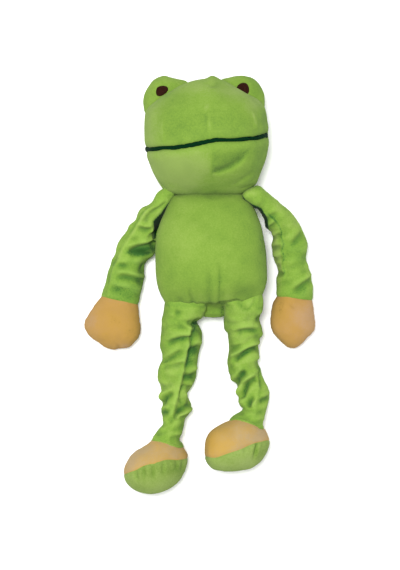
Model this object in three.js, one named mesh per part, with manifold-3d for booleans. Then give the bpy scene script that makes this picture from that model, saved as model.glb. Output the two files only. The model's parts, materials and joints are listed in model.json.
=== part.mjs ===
// Plush frog, lying on its back with its face up.
// Frame, in millimetres: +Z up from the surface it lies on, +Y towards the top of its head, -X its own right side.
// The origin is at the middle of the toy's outline, on the surface it lies on.
// It is built as it is sewn: fabric panels and ruched sleeves as thin shells, each around its own wad of filling,
// an elastic tape inside the gathered seam of every limb, and a bend point wherever the soft tube folds.
import * as THREE from "three";
import { mergeVertices } from "three/addons/utils/BufferGeometryUtils.js";
import Module from "manifold-3d";

const wasm = await Module();
wasm.setup();
const { Manifold } = wasm;

// ---------------------------------------------------------------- driving dimensions, mm
const GRID = 0.9; // size of one unit of the front-view layout grid
const GRID_U0 = 199.5; // grid column of the origin
const GRID_V0 = 284.0; // grid row of the origin, rows count downwards
const VIEW_HEIGHT = 1500; // the layout was taken from this height above the surface
const VIEW_LEVEL = 20; // level at which one grid unit is exactly GRID
const SHIFT_X = -0.66; // centres the outline on the origin
const SHIFT_Y = 0.76;
const WALL = 1.6; // fabric with its pile
const AIR = 0.3; // clearance between pieces that touch
const SLACK = 2.2; // the covers are looser than their filling by this much, and fold into it
const NECK_BALL = 13.5; // wad of filling that passes through the neck
const NECK_HOLE = 17; // opening in the head and the body at the neck
const ELBOW_GAP = 3.2; // half the gap left at an elbow or a knee
const BEAD_GAP = 2.6; // half the gap left at a shoulder, hip, wrist or ankle
const ENDS = 0.62; // how far the end of a length of sleeve is rounded over, as a part of its half thickness
const SLEEVE_HOLE = 4.5; // radius of the opening through which filling and elastic run on
const TAPE_W = 5; // elastic tape
const TAPE_T = 1.2;
const MOUTH_W = 3.2; // embroidered mouth line
const MOUTH_PROUD = 1.5;
const EYE_R = 5.3; // embroidered eye
const FOOT = { long: 33, high: 22.5, wide: 24, lift: 35 }; // half sizes of a foot, and how far its toe points up

// ---------------------------------------------------------------- helpers
// A point of the front-view layout at level z.
const G = (u, v, z) => {
  const k = (GRID * (VIEW_HEIGHT - z)) / (VIEW_HEIGHT - VIEW_LEVEL);
  return new THREE.Vector3((u - GRID_U0) * k + SHIFT_X, (GRID_V0 - v) * k + SHIFT_Y, z);
};

// A geometry as an exact solid.
function solid(geometry) {
  const g = (geometry.index ? geometry.toNonIndexed() : geometry.clone());
  const bare = new THREE.BufferGeometry().setAttribute("position", g.getAttribute("position"));
  const merged = mergeVertices(bare, 1e-4);
  const idx = merged.index.array, keep = [];
  for (let i = 0; i < idx.length; i += 3)
    if (idx[i] !== idx[i + 1] && idx[i + 1] !== idx[i + 2] && idx[i] !== idx[i + 2])
      keep.push(idx[i], idx[i + 1], idx[i + 2]);
  const make = (tri) =>
    new Manifold(new wasm.Mesh({ numProp: 3, vertProperties: new Float32Array(merged.attributes.position.array), triVerts: new Uint32Array(tri) }));
  let made = make(keep);
  if (made.volume() < 0) {
    for (let i = 0; i < keep.length; i += 3) [keep[i + 1], keep[i + 2]] = [keep[i + 2], keep[i + 1]];
    made = make(keep);
  }
  return made;
}

// The largest body of a solid, as a geometry.
function geometryOf(man) {
  const bodies = man.decompose().sort((p, q) => q.volume() - p.volume());
  const m = bodies[0].getMesh(), n = m.numProp, v = new Float32Array(m.numVert * 3);
  for (let i = 0; i < m.numVert; i++) v.set(m.vertProperties.subarray(i * n, i * n + 3), i * 3);
  const g = new THREE.BufferGeometry()
    .setAttribute("position", new THREE.BufferAttribute(v, 3))
    .setIndex(new THREE.BufferAttribute(new Uint32Array(m.triVerts), 1));
  g.computeVertexNormals();
  return g;
}

const box = (x0, x1, y0, y1, z0, z1) =>
  solid(new THREE.BoxGeometry(x1 - x0, y1 - y0, z1 - z0).translate((x0 + x1) / 2, (y0 + y1) / 2, (z0 + z1) / 2));
const ball = (p, r, n = 16) => solid(new THREE.SphereGeometry(r, n, Math.round(n * 0.6)).translate(p.x, p.y, p.z));
// A round rod from p to q.
function rod(p, q, r, n = 10) {
  const d = q.clone().sub(p), g = new THREE.CylinderGeometry(r, r, d.length(), n);
  g.applyQuaternion(new THREE.Quaternion().setFromUnitVectors(new THREE.Vector3(0, 1, 0), d.clone().normalize()));
  const c = p.clone().add(q).multiplyScalar(0.5);
  return solid(g.translate(c.x, c.y, c.z));
}
// A block centred on p whose sides lie along the unit vectors e1, e2, e3.
function block(p, e1, e2, e3, s1, s2, s3) {
  const g = new THREE.BoxGeometry(s1, s2, s3);
  g.applyMatrix4(new THREE.Matrix4().makeBasis(e1, e2, e3).setPosition(p));
  return solid(g);
}

// The run of a soft form: rows of [u, v, z, half width, half thickness above, half thickness below], widths in grid
// units and the rest in mm. upright forms keep their section square to X and Z; the others turn with their own line.
class Run {
  constructor(rows, { upright = false, power = 2 } = {}) {
    this.line = new THREE.CatmullRomCurve3(rows.map((r) => G(r[0], r[1], r[2])));
    this.size = new THREE.CatmullRomCurve3(rows.map((r) => new THREE.Vector3(r[3] * GRID, r[4], r[5] ?? r[4])));
    this.length = this.line.getLength();
    this.upright = upright;
    this.power = power;
  }
  at(s) {
    const c = Math.min(Math.max(s / this.length, 0), 1);
    const t = this.line.getUtoTmapping(c), size = this.size.getPoint(t), dir = this.line.getTangent(t);
    const p = this.line.getPoint(t);
    if (s < 0 || s > this.length) p.addScaledVector(dir, s < 0 ? s : s - this.length);
    const side = this.upright ? new THREE.Vector3(1, 0, 0) : dir.clone().cross(new THREE.Vector3(0, 0, 1)).normalize();
    const up = this.upright ? new THREE.Vector3(0, 0, 1) : side.clone().cross(dir);
    return { p, dir, side, up, a: size.x, t: size.y, d: size.z };
  }
  // The closed form from s0 to s1, its ends rounded over r0 and r1, grown by grow all round, none of it below floor.
  form(s0, s1, r0, r1, { grow = 0, n = 12, rings = 3, cap = 3, floor = null } = {}) {
    const a0 = s0 - grow, a1 = s1 + grow, q0 = Math.max(r0 + grow, 0.5), q1 = Math.max(r1 + grow, 0.5);
    const profile = [new THREE.Vector2(0, a0)];
    for (let i = 1; i <= cap; i++) {
      const f = (i / cap) * (Math.PI / 2);
      profile.push(new THREE.Vector2(Math.sin(f), a0 + q0 * (1 - Math.cos(f))));
    }
    for (let i = 1; i < rings; i++) profile.push(new THREE.Vector2(1, a0 + q0 + ((a1 - q1 - a0 - q0) * i) / rings));
    for (let i = cap; i >= 1; i--) {
      const f = (i / cap) * (Math.PI / 2);
      profile.push(new THREE.Vector2(Math.sin(f), a1 - q1 * (1 - Math.cos(f))));
    }
    profile.push(new THREE.Vector2(0, a1));
    const g = new THREE.LatheGeometry(profile, n), pos = g.getAttribute("position"), e = 2 / this.power;
    const bent = (v) => Math.sign(v) * Math.abs(v) ** e;
    for (let i = 0; i < pos.count; i++) {
      const x = pos.getX(i), s = pos.getY(i), z = pos.getZ(i), rho = Math.hypot(x, z), k = this.at(s);
      const c = rho > 1e-9 ? Math.round((z / rho) * 1e7) / 1e7 : 0, q = rho > 1e-9 ? Math.round((x / rho) * 1e7) / 1e7 : 0;
      const w = bent(c) * rho * (k.a + grow), h = bent(q) * rho * ((q > 0 ? k.t : k.d) + grow);
      const p = k.p.clone().addScaledVector(k.side, w).addScaledVector(k.up, h);
      if (floor !== null && p.z < floor) p.z = floor;
      pos.setXYZ(i, p.x, p.y, p.z);
    }
    return solid(g);
  }
}

const frog = new THREE.Group();
const COLOURS = {
  green: [0x93b847, 0.92], sole: [0x9db85c, 0.92], tan: [0xcfa55c, 0.9], dark_green: [0x0e3a1c, 0.8],
  brown: [0x33140c, 0.75], filling: [0xf1efe8, 1.0], elastic: [0xe6e3d8, 0.85],
};
function piece(name, man, colour) {
  const [color, roughness] = COLOURS[colour];
  const mesh = new THREE.Mesh(geometryOf(man), new THREE.MeshStandardMaterial({ color, roughness, metalness: 0 }));
  mesh.name = name;
  frog.add(mesh);
}

// ---------------------------------------------------------------- head
const BIG = 400;
const headRun = new Run(
  [
    [208, 79, 50, 50, 46, 36], [208, 90, 49, 50, 44, 42], [207, 100, 48, 55.6, 42.5, 45], [206.5, 110, 48, 60, 44, 48],
    [206.5, 120, 48, 61.5, 46.5, 50], [206.5, 130, 48, 61.8, 49, 50], [207, 140, 48, 61.4, 49, 50], [207, 150, 47, 60.6, 48, 50],
    [207.5, 160, 46, 58.6, 44.5, 49], [207.5, 170, 44, 55, 39, 47], [208, 180, 41, 50.5, 33, 40], [208, 187, 39, 48, 26, 30], [208, 192.5, 38, 46, 21, 24],
  ],
  { upright: true, power: 2.3 },
);
const HR0 = 35 * GRID, HR1 = 6 * GRID;
const headForm = (grow, o = {}) => headRun.form(0, headRun.length, HR0, HR1, { grow, n: 20, rings: 6, cap: 4, floor: Math.max(-grow, 0), ...o });
const headOuter = headForm(0);
const neck = G(208, 196, 36);
const neckWay = rod(neck.clone().setY(neck.y - 30), neck.clone().setY(neck.y + 30), NECK_HOLE, 12);
const headShell = headOuter.subtract(headForm(-WALL, { n: 14, rings: 5, cap: 3 })).subtract(neckWay);

// The mouth runs right across the front of the head.
const MOUTH = [[120, 150], [147, 149], [165, 148], [180, 146.6], [193, 144.4], [205, 141.6], [216, 139.6], [230, 139], [246, 138], [258, 136.6], [267, 134.6], [300, 130]];
const MOUTH_Z = 60;
function overMouth(up, down) {
  const pts = MOUTH.map(([u, v]) => G(u, v, MOUTH_Z)), s = new THREE.Shape();
  pts.forEach((p, i) => (i ? s.lineTo(p.x, p.y + up) : s.moveTo(p.x, p.y + up)));
  [...pts].reverse().forEach((p) => s.lineTo(p.x, down === null ? BIG : p.y + down));
  s.closePath();
  return solid(new THREE.ExtrudeGeometry(s, { depth: 200, bevelEnabled: false, steps: 1 }).translate(0, 0, -20));
}
const aboveMouth = overMouth(AIR / 2, null);
const mouthBand = overMouth(MOUTH_W / 2, -MOUTH_W / 2);
const HEAD_SPLIT = 30; // level of the seam between the front panels and the back panel
const CROWN_X = G(208, 0, 80).x, CHIN_X = G(213, 0, 80).x, h = AIR / 2;
const front = box(-BIG, BIG, -BIG, BIG, HEAD_SPLIT + h, BIG);
const headFront = headShell.intersect(front);
const crown = headFront.intersect(aboveMouth);
const chin = headFront.subtract(overMouth(-AIR / 2, null));
piece("head_top_right_panel", crown.intersect(box(-BIG, CROWN_X - h, -BIG, BIG, -BIG, BIG)), "green");
piece("head_top_left_panel", crown.intersect(box(CROWN_X + h, BIG, -BIG, BIG, -BIG, BIG)), "green");
piece("chin_right_panel", chin.intersect(box(-BIG, CHIN_X - h, -BIG, BIG, -BIG, BIG)), "green");
piece("chin_left_panel", chin.intersect(box(CHIN_X + h, BIG, -BIG, BIG, -BIG, BIG)), "green");
piece("head_back_panel", headShell.intersect(box(-BIG, BIG, -BIG, BIG, -BIG, HEAD_SPLIT - h)), "green");
piece(
  "mouth_line",
  headForm(MOUTH_PROUD, { floor: 0 }).subtract(headForm(AIR, { floor: 0 })).intersect(mouthBand).intersect(box(-BIG, BIG, -BIG, BIG, 52, BIG)),
  "dark_green",
);
// Filling, with its own hollow for the wad that passes through the neck.
piece("head_filling", headForm(-WALL - SLACK, { n: 14, rings: 5, cap: 3 }).subtract(ball(neck, NECK_BALL + 1.5, 12)), "filling");
piece("neck_filling", ball(neck, NECK_BALL, 12), "filling");

// Eye lobes behind the crown, each a small stuffed bag sewn to the head, with an embroidered eye.
const lobeAt = (u, v, z, a, b, c, n, tilt) =>
  solid(new THREE.SphereGeometry(1, n, Math.round(n * 0.62)).scale(a, b, c).rotateZ(tilt).translate(...G(u, v, z).toArray()));
const headGrown = headForm(AIR, { floor: null });
for (const [side, u, v, tilt, eu, ev] of [["right", 166.5, 99, 0.35, 163, 91], ["left", 245, 98.5, -0.35, 243.5, 89]]) {
  const outer = lobeAt(u, v, 33, 19.3, 21.5, 15.5, 13, tilt), grown = lobeAt(u, v, 33, 19.3 + AIR, 21.5 + AIR, 15.5 + AIR, 13, tilt);
  const inner = lobeAt(u, v, 33, 19.3 - WALL, 21.5 - WALL, 15.5 - WALL, 9, tilt);
  const fill = lobeAt(u, v, 33, 19.3 - WALL - AIR, 21.5 - WALL - AIR, 15.5 - WALL - AIR, 9, tilt);
  piece(side + "_eye_lobe", outer.subtract(inner).subtract(headGrown), "green");
  piece(side + "_eye_lobe_filling", fill.subtract(headForm(AIR * 2, { floor: null })), "filling");
  const e = G(eu, ev, 45.5);
  const disc = solid(new THREE.SphereGeometry(1, 12, 8).scale(EYE_R, EYE_R, 4).rotateX(-0.25).rotateY(side === "right" ? -0.2 : 0.2).translate(e.x, e.y, e.z));
  piece(side + "_eye", disc.subtract(grown).subtract(headForm(AIR, { floor: null })), "brown");
}

// ---------------------------------------------------------------- lines of the limbs, and where they bend
const arms = {
  right: new Run([
    [167, 199.5, 40, 9.2, 8], [157, 208, 37, 11.2, 9.5], [147, 220, 31, 13.3, 11], [139.5, 234, 24, 15, 12], [133.5, 248, 18, 16, 12.5],
    [128, 262, 14.2, 16.5, 13], [125.2, 276, 13, 17.6, 13], [122, 288, 13, 18.2, 13], [119.6, 298.5, 12.5, 18.6, 12.5],
  ]),
  left: new Run([
    [251, 198.5, 40, 8.4, 8], [260, 203, 38, 11, 9.5], [270, 211, 34, 13, 11], [279, 220.5, 29, 14.6, 12], [286, 232, 22.5, 15.6, 12.5],
    [289, 246, 17, 16.5, 13], [290.5, 260, 14, 16.5, 13], [293, 274, 13, 16.7, 13], [294, 286, 13, 18, 13], [294.6, 295.5, 12.5, 18.5, 12.5],
  ]),
};
const legs = {
  right: new Run([
    [183.5, 322.5, 32, 16.6, 13.5], [181.5, 330, 26, 17.6, 14.5], [180.8, 342, 19, 18.6, 14.5], [180, 356, 15, 18, 14], [177.7, 370, 14, 17.8, 13.5], [176, 384, 13.5, 16.2, 13],
    [174.5, 398, 13, 14.8, 12.5], [175.5, 410, 14, 14, 12], [173, 420, 16.5, 12.8, 11.5], [169.5, 430, 20, 13, 11.5], [167.3, 437.5, 22.5, 14, 11.5],
  ]),
  left: new Run([
    [243.2, 322.5, 32, 16.6, 13.5], [243.2, 329, 26, 16.8, 14.5], [243.5, 340, 19, 15.6, 14.5], [243.5, 351, 15, 15, 14], [243.2, 362, 14, 15.4, 13.5],
    [246.5, 374, 13.5, 15.6, 13], [252, 386, 13, 15.2, 12.5], [254.5, 398, 14, 15.2, 12], [254, 407, 16.5, 13.8, 11.5], [251.5, 415, 20, 14, 11.5],
  ]),
};
// Bend points along each limb, mm from its sewn end.
const ARM_SWING = 18, ARM_ELBOW = 45, LEG_SPREAD = 18.5, LEG_KNEE = { right: 54, left: 50 };
const mitts = {
  right: new Run([[119.2, 303.5, 12.5, 18.6, 12.5], [116.5, 311, 13.5, 22.5, 13.5], [114, 319, 14.5, 26.5, 14.5], [112.5, 327, 14.5, 28.3, 14.5], [113.5, 335, 14.3, 27, 14.3], [115.5, 342, 14, 23.5, 14], [117, 348.5, 13.5, 19, 13.5]], { power: 2.2 }),
  left: new Run([[294.8, 300.5, 12.5, 18.6, 12.5], [293.6, 308, 13.5, 21.3, 13.5], [293, 316, 14.5, 22.8, 14.5], [292.6, 324, 14.5, 22.8, 14.5], [292.2, 332, 14.3, 20.5, 14.3], [291.8, 340, 14, 15, 14], [291.5, 347, 13.5, 10, 13.5]], { power: 2.2 }),
};
const bends = { neck_turn: { at: G(208, 196, 36), axis: new THREE.Vector3(0, 1, 0) }, head_nod: { at: G(208, 196, 36), axis: new THREE.Vector3(1, 0, 0) } };
const UP = new THREE.Vector3(0, 0, 1);
for (const side of ["right", "left"]) {
  const arm = arms[side], leg = legs[side], out = new THREE.Vector3(0, 0, side === "right" ? -1 : 1);
  const lift = (k) => k.dir.clone().setZ(0).normalize().cross(UP); // turns that part of the limb up, away from the surface
  bends[side + "_shoulder_raise"] = { at: arm.at(8).p, axis: out.clone() };
  bends[side + "_shoulder_swing"] = { at: arm.at(ARM_SWING).p, axis: lift(arm.at(ARM_SWING)) };
  bends[side + "_elbow"] = { at: arm.at(ARM_ELBOW).p, axis: lift(arm.at(ARM_ELBOW)) };
  bends[side + "_wrist"] = { at: arm.at(arm.length).p.add(mitts[side].at(0).p).multiplyScalar(0.5), axis: lift(arm.at(arm.length)) };
  bends[side + "_hip_swing"] = { at: leg.at(0).p.add(new THREE.Vector3(0, 3, 10)), axis: new THREE.Vector3(-1, 0, 0) };
  bends[side + "_hip_spread"] = { at: leg.at(LEG_SPREAD).p, axis: out.clone() };
  bends[side + "_knee"] = { at: leg.at(LEG_KNEE[side]).p, axis: lift(leg.at(LEG_KNEE[side])).negate() };
  bends[side + "_ankle"] = { at: leg.at(leg.length + 2).p, axis: lift(leg.at(leg.length)) };
}
// The room that a form needs as it turns on a bend point, every step of degrees from a to b.
function sweep(form, bend, a, b, step = 10) {
  const parts = [], q = bend.at;
  for (let t = a; t <= b + 1e-6; t += step) {
    const m = new THREE.Matrix4().makeTranslation(q.x, q.y, q.z)
      .multiply(new THREE.Matrix4().makeRotationAxis(bend.axis, THREE.MathUtils.degToRad(t)))
      .multiply(new THREE.Matrix4().makeTranslation(-q.x, -q.y, -q.z));
    parts.push(form.transform(m.elements));
  }
  return Manifold.union(parts);
}

// ---------------------------------------------------------------- body
const bodyRun = new Run(
  [
    [209, 199.5, 36, 38, 20, 20], [209.5, 206, 36, 42, 26, 30], [210, 214, 36, 46.5, 30.5, 37], [211, 225, 36, 50, 34, 38], [211.5, 240, 36, 53.6, 37, 38],
    [211.7, 260, 36, 55.5, 38, 38], [211.7, 280, 36, 55.2, 37, 38], [211.7, 292, 36, 53, 31, 38], [212, 303, 35, 50, 21, 37], [213, 315, 33, 45, 15, 30],
  ],
  { upright: true, power: 2.25 },
);
const BR0 = 7 * GRID, BR1 = 15 * GRID;
const bodyForm = (grow, o = {}) => bodyRun.form(0, bodyRun.length, BR0, BR1, { grow, n: 18, rings: 5, cap: 3, floor: Math.max(-grow, 0), ...o });
// Room at the shoulders and hips for the sleeves to turn.
const sleeveRoom = Manifold.union(
  ["right", "left"].flatMap((side) => {
    const stub = (run, end) => run.form(0, end, Math.min(run.at(0).t * ENDS, end * 0.45), Math.min(run.at(end).t * ENDS, end * 0.45), { grow: 1.1, n: 8, rings: 2, cap: 2 });
    return [
      sweep(stub(arms[side], ARM_SWING - BEAD_GAP), bends[side + "_shoulder_raise"], 0, 60, 20),
      sweep(stub(legs[side], LEG_SPREAD - BEAD_GAP), bends[side + "_hip_swing"], -15, 80, 19),
    ];
  }),
);
const bodyShell = bodyForm(0).subtract(bodyForm(-WALL, { n: 14, rings: 4, cap: 2 })).subtract(neckWay).subtract(sleeveRoom);
const BODY_SPLIT = 34, BASE_Y = G(0, 305, 40).y;
piece("torso_front_panel", bodyShell.intersect(box(-BIG, BIG, BASE_Y + h, BIG, BODY_SPLIT + h, BIG)), "green");
piece("torso_back_panel", bodyShell.intersect(box(-BIG, BIG, BASE_Y + h, BIG, -BIG, BODY_SPLIT - h)), "green");
piece("torso_base_panel", bodyShell.intersect(box(-BIG, BIG, -BIG, BASE_Y - h, -BIG, BIG)), "green");
piece("torso_filling", bodyForm(-WALL - SLACK, { n: 14, rings: 4, cap: 2 }).subtract(ball(neck, NECK_BALL + 1.5, 12)).subtract(sleeveRoom), "filling");

// ---------------------------------------------------------------- limbs
// One length of ruched sleeve: a shell with an opening at each end, and where it is stuffed its filling and the
// elastic tape of its gathered seam, which lies on the side that tape points to.
function sleeve(run, s0, s1, names, tape) {
  const a = run.at(s0), b = run.at(s1), r0 = a.t, r1 = b.t;
  const len = s1 - s0, q0 = Math.min(r0 * ENDS, len * 0.45), q1 = Math.min(r1 * ENDS, len * 0.45), rings = Math.max(2, Math.round((len - q0 - q1) / 11));
  const form = (grow, n, cap) => run.form(s0, s1, q0, q1, { grow, n, rings, cap, floor: Math.max(-grow, 0) });
  const way = rod(a.p.clone().addScaledVector(a.dir, -4), a.p.clone().addScaledVector(a.dir, 6), SLEEVE_HOLE, 6).add(
    rod(b.p.clone().addScaledVector(b.dir, -6), b.p.clone().addScaledVector(b.dir, 4), SLEEVE_HOLE, 6),
  );
  piece(names.sleeve, form(0, 10, 3).subtract(form(-WALL, 8, 2)).subtract(way), "green");
  if (!names.filling) return;
  const wad = form(-WALL - SLACK, 8, 2);
  // The tape is straight; the wad has a slot for it that is open to the side.
  const span = Math.max(len - q0 - q1, 8), mid = (s0 + s1) / 2, p0 = run.at(mid - span / 2), p1 = run.at(mid + span / 2), m = run.at(mid);
  const edge = (k) => k.p.clone().addScaledVector(k.side, tape * (Math.min(p0.a, m.a, p1.a) - WALL - 4.2));
  const dir = edge(p1).sub(edge(p0)), long = dir.length(), face = dir.normalize().clone().cross(UP).normalize().multiplyScalar(tape), up = face.clone().cross(dir).multiplyScalar(tape);
  const centre = edge(p0).add(edge(p1)).multiplyScalar(0.5), SLOT = 16;
  const band = (extra, reach) => block(centre.clone().addScaledVector(face, reach / 2), dir, up, dir.clone().cross(up), long + extra * 2, TAPE_W + extra * 2, TAPE_T + extra * 2 + reach);
  piece(names.filling, wad.subtract(band(AIR, SLOT)), "filling");
  piece(names.tape, band(0, 0), "elastic");
}

for (const side of ["right", "left"]) {
  const arm = arms[side], leg = legs[side], tape = side === "right" ? 1 : 1;
  sleeve(arm, 0, ARM_SWING - BEAD_GAP, { sleeve: side + "_shoulder_sleeve" });
  sleeve(arm, ARM_SWING + BEAD_GAP, ARM_ELBOW - ELBOW_GAP, { sleeve: side + "_upper_arm_sleeve", filling: side + "_upper_arm_filling", tape: side + "_upper_arm_elastic" }, tape);
  sleeve(arm, ARM_ELBOW + ELBOW_GAP, arm.length, { sleeve: side + "_forearm_sleeve", filling: side + "_forearm_filling", tape: side + "_forearm_elastic" }, tape);
  sleeve(leg, 0, LEG_SPREAD - BEAD_GAP, { sleeve: side + "_hip_sleeve" });
  sleeve(leg, LEG_SPREAD + BEAD_GAP, LEG_KNEE[side] - ELBOW_GAP, { sleeve: side + "_thigh_sleeve", filling: side + "_thigh_filling", tape: side + "_thigh_elastic" }, -1);
  sleeve(leg, LEG_KNEE[side] + ELBOW_GAP, leg.length, { sleeve: side + "_shin_sleeve", filling: side + "_shin_filling", tape: side + "_shin_elastic" }, -1);
}

// ---------------------------------------------------------------- hands
// A mitt of two panels, sewn round its edge.
for (const side of ["right", "left"]) {
  const run = mitts[side], form = (grow, n, cap) => run.form(0, run.length, 8, 9, { grow, n, rings: 3, cap, floor: Math.max(-grow, 0) });
  const a = run.at(0), way = rod(a.p.clone().addScaledVector(a.dir, -4), a.p.clone().addScaledVector(a.dir, 7), 6, 8);
  const shell = form(0, 14, 3).subtract(form(-WALL, 10, 2)).subtract(way), split = 13;
  piece(side + "_hand_front_panel", shell.intersect(box(-BIG, BIG, -BIG, BIG, split + h, BIG)), "tan");
  piece(side + "_hand_back_panel", shell.intersect(box(-BIG, BIG, -BIG, BIG, -BIG, split - h)), "tan");
  piece(side + "_hand_filling", form(-WALL - SLACK, 10, 2), "filling");
}

// ---------------------------------------------------------------- feet
// An egg-shaped bag, its toe turned up and to the toy's right, with a separate sole.
const feet = {
  right: { c: [156.6, 467.5, 26.5], seam: [-62, 15.5], k: [1, 1.04, 1] },
  left: { c: [237.7, 445.2, 26.5], seam: [-62, 19], k: [1, 1, 1] },
};
for (const side of ["right", "left"]) {
  const f = feet[side], c = G(...f.c), lift = THREE.MathUtils.degToRad(FOOT.lift);
  const along = new THREE.Vector3(f.seam[0], -f.seam[1], 0).normalize();
  const e1 = along.clone().multiplyScalar(Math.cos(lift)).setZ(Math.sin(lift)), e2 = new THREE.Vector3(-along.y, along.x, 0), e3 = e1.clone().cross(e2);
  const basis = new THREE.Matrix4().makeBasis(e1, e2, e3).setPosition(c);
  const form = (grow, n, floor) => {
    const g = new THREE.SphereGeometry(1, n, Math.round(n * 0.6)).scale(FOOT.long * f.k[0] + grow, FOOT.high * f.k[1] + grow, FOOT.wide * f.k[2] + grow).applyMatrix4(basis);
    const pos = g.getAttribute("position");
    for (let i = 0; i < pos.count; i++) if (pos.getZ(i) < floor) pos.setZ(i, floor);
    return solid(g);
  };
  const leg = legs[side], end = leg.at(leg.length);
  const shell = form(0, 14, 0).subtract(form(-WALL, 11, WALL));
  const way = rod(end.p, end.p.clone().addScaledVector(end.dir, 12), 6, 8);
  const half = (sign) => block(c.clone().addScaledVector(e2, sign * (BIG / 2 + h)), e1, e2, e3, BIG, BIG, BIG);
  const up = e2.y > 0 ? 1 : -1; // the upper lies towards the leg
  piece(side + "_foot_upper", shell.intersect(half(up)).subtract(way), "tan");
  piece(side + "_foot_sole", shell.intersect(half(-up)), "sole");
  piece(side + "_foot_filling", form(-WALL - SLACK, 11, WALL + SLACK), "filling");
}

// The bend points, for anything that measures the toy.
frog.userData.bends = bends;

export default frog;
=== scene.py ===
"""Plush frog lying on its back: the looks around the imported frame. Lengths in the maths are millimetres."""
import bpy, json, math
import numpy as np
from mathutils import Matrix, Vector
from mathutils.bvhtree import BVHTree

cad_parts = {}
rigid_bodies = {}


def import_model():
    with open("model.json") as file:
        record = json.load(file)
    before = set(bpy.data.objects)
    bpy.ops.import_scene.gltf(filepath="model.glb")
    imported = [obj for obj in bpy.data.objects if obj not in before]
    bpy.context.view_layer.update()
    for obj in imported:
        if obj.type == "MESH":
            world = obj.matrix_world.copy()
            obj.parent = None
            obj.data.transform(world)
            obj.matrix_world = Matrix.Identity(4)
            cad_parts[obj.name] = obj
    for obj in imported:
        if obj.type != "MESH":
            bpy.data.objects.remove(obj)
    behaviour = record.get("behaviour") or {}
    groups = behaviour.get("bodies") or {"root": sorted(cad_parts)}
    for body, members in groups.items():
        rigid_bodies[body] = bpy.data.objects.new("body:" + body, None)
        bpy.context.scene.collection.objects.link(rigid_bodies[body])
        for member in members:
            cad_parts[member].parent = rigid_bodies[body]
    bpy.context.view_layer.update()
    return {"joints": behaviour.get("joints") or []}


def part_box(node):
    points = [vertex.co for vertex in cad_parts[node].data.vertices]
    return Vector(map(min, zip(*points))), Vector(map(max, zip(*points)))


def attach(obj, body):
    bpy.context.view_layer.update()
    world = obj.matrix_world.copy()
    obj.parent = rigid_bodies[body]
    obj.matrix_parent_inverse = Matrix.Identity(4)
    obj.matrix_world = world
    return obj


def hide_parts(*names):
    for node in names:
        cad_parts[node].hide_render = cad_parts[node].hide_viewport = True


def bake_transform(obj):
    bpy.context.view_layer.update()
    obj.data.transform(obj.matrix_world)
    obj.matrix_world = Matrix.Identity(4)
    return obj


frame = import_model()

# ------------------------------------------------------------------ layout of the view, and camera
U0, V0, PX, H, LEVEL, SX, SY = 199.5, 284.0, 0.9, 1500.0, 20.0, -0.66, 0.76


def G(u, v, z):
    """Point of the front-view layout (grid units, level in mm) in mm."""
    u, v, z = np.broadcast_arrays(np.asarray(u, float), np.asarray(v, float), np.asarray(z, float))
    k = PX * (H - z) / (H - LEVEL)
    return np.stack([(u - U0) * k + SX, (V0 - v) * k + SY, z], -1)


def grid_of(P):
    k = PX * (H - P[..., 2]) / (H - LEVEL)
    return np.stack([(P[..., 0] - SX) / k + U0, V0 - (P[..., 1] - SY) / k], -1)


cam_data = bpy.data.cameras.new("camera")
cam = bpy.data.objects.new("camera", cam_data)
bpy.context.scene.collection.objects.link(cam)
cam.location = ((SX + 0.9 * PX) / 1000, (SY - 0.75 * PX) / 1000, H / 1000)
cam.rotation_euler = (0, 0, 0)
cam_data.sensor_width = 36
cam_data.lens = 18 / (285 * PX / (H - LEVEL))
cam_data.clip_start, cam_data.clip_end = 0.05, 20
bpy.context.scene.camera = cam
bpy.context.scene.view_settings.view_transform = "Standard"


# ------------------------------------------------------------------ maths
def pchip(x, y, q):
    x, y, q = np.asarray(x, float), np.asarray(y, float), np.asarray(q, float)
    flat = y.ndim == 1
    if flat:
        y = y[:, None]
    h = np.diff(x)[:, None]
    d = np.diff(y, axis=0) / h
    m = np.zeros_like(y)
    if len(x) > 2:
        w1, w2 = 2 * h[1:] + h[:-1], h[1:] + 2 * h[:-1]
        with np.errstate(divide="ignore", invalid="ignore"):
            inner = (w1 + w2) / (w1 / d[:-1] + w2 / d[1:])
        m[1:-1] = np.where(d[:-1] * d[1:] > 0, inner, 0)
    m[0], m[-1] = d[0], d[-1]
    i = np.clip(np.searchsorted(x, q, "right") - 1, 0, len(x) - 2)
    hh = (x[i + 1] - x[i])[:, None]
    t = (q[:, None] - x[i][:, None]) / hh
    out = (2 * t**3 - 3 * t**2 + 1) * y[i] + (t**3 - 2 * t**2 + t) * hh * m[i] + (-2 * t**3 + 3 * t**2) * y[i + 1] + (t**3 - t**2) * hh * m[i + 1]
    return out[:, 0] if flat else out


def smooth(a, b, x):
    t = np.clip((x - a) / (b - a), 0, 1)
    return t * t * (3 - 2 * t)


def noise(P, scale, seed=0):
    """Smooth noise of about -1 to 1 at points P."""
    q = P / scale + 31.7 * seed + 1000.0
    i = np.floor(q).astype(np.int64)
    f = q - i
    f = f * f * f * (f * (f * 6 - 15) + 10)
    out = 0.0
    for c in range(8):
        o = np.array([c & 1, (c >> 1) & 1, (c >> 2) & 1])
        n = i + o
        h = (n[..., 0] * 73856093) ^ (n[..., 1] * 19349663) ^ (n[..., 2] * 83492791) ^ (seed * 2654435761 % 4294967296)
        h = ((h ^ (h >> 13)) * 1274126177) & 0x7FFFFFFF
        h = ((h ^ (h >> 15)) * 2246822519) & 0x7FFFFFFF
        w = np.prod(np.where(o == 1, f, 1 - f), -1)
        out = out + w * (h / 0x3FFFFFFF - 1.0)
    return out * 1.4


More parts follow.
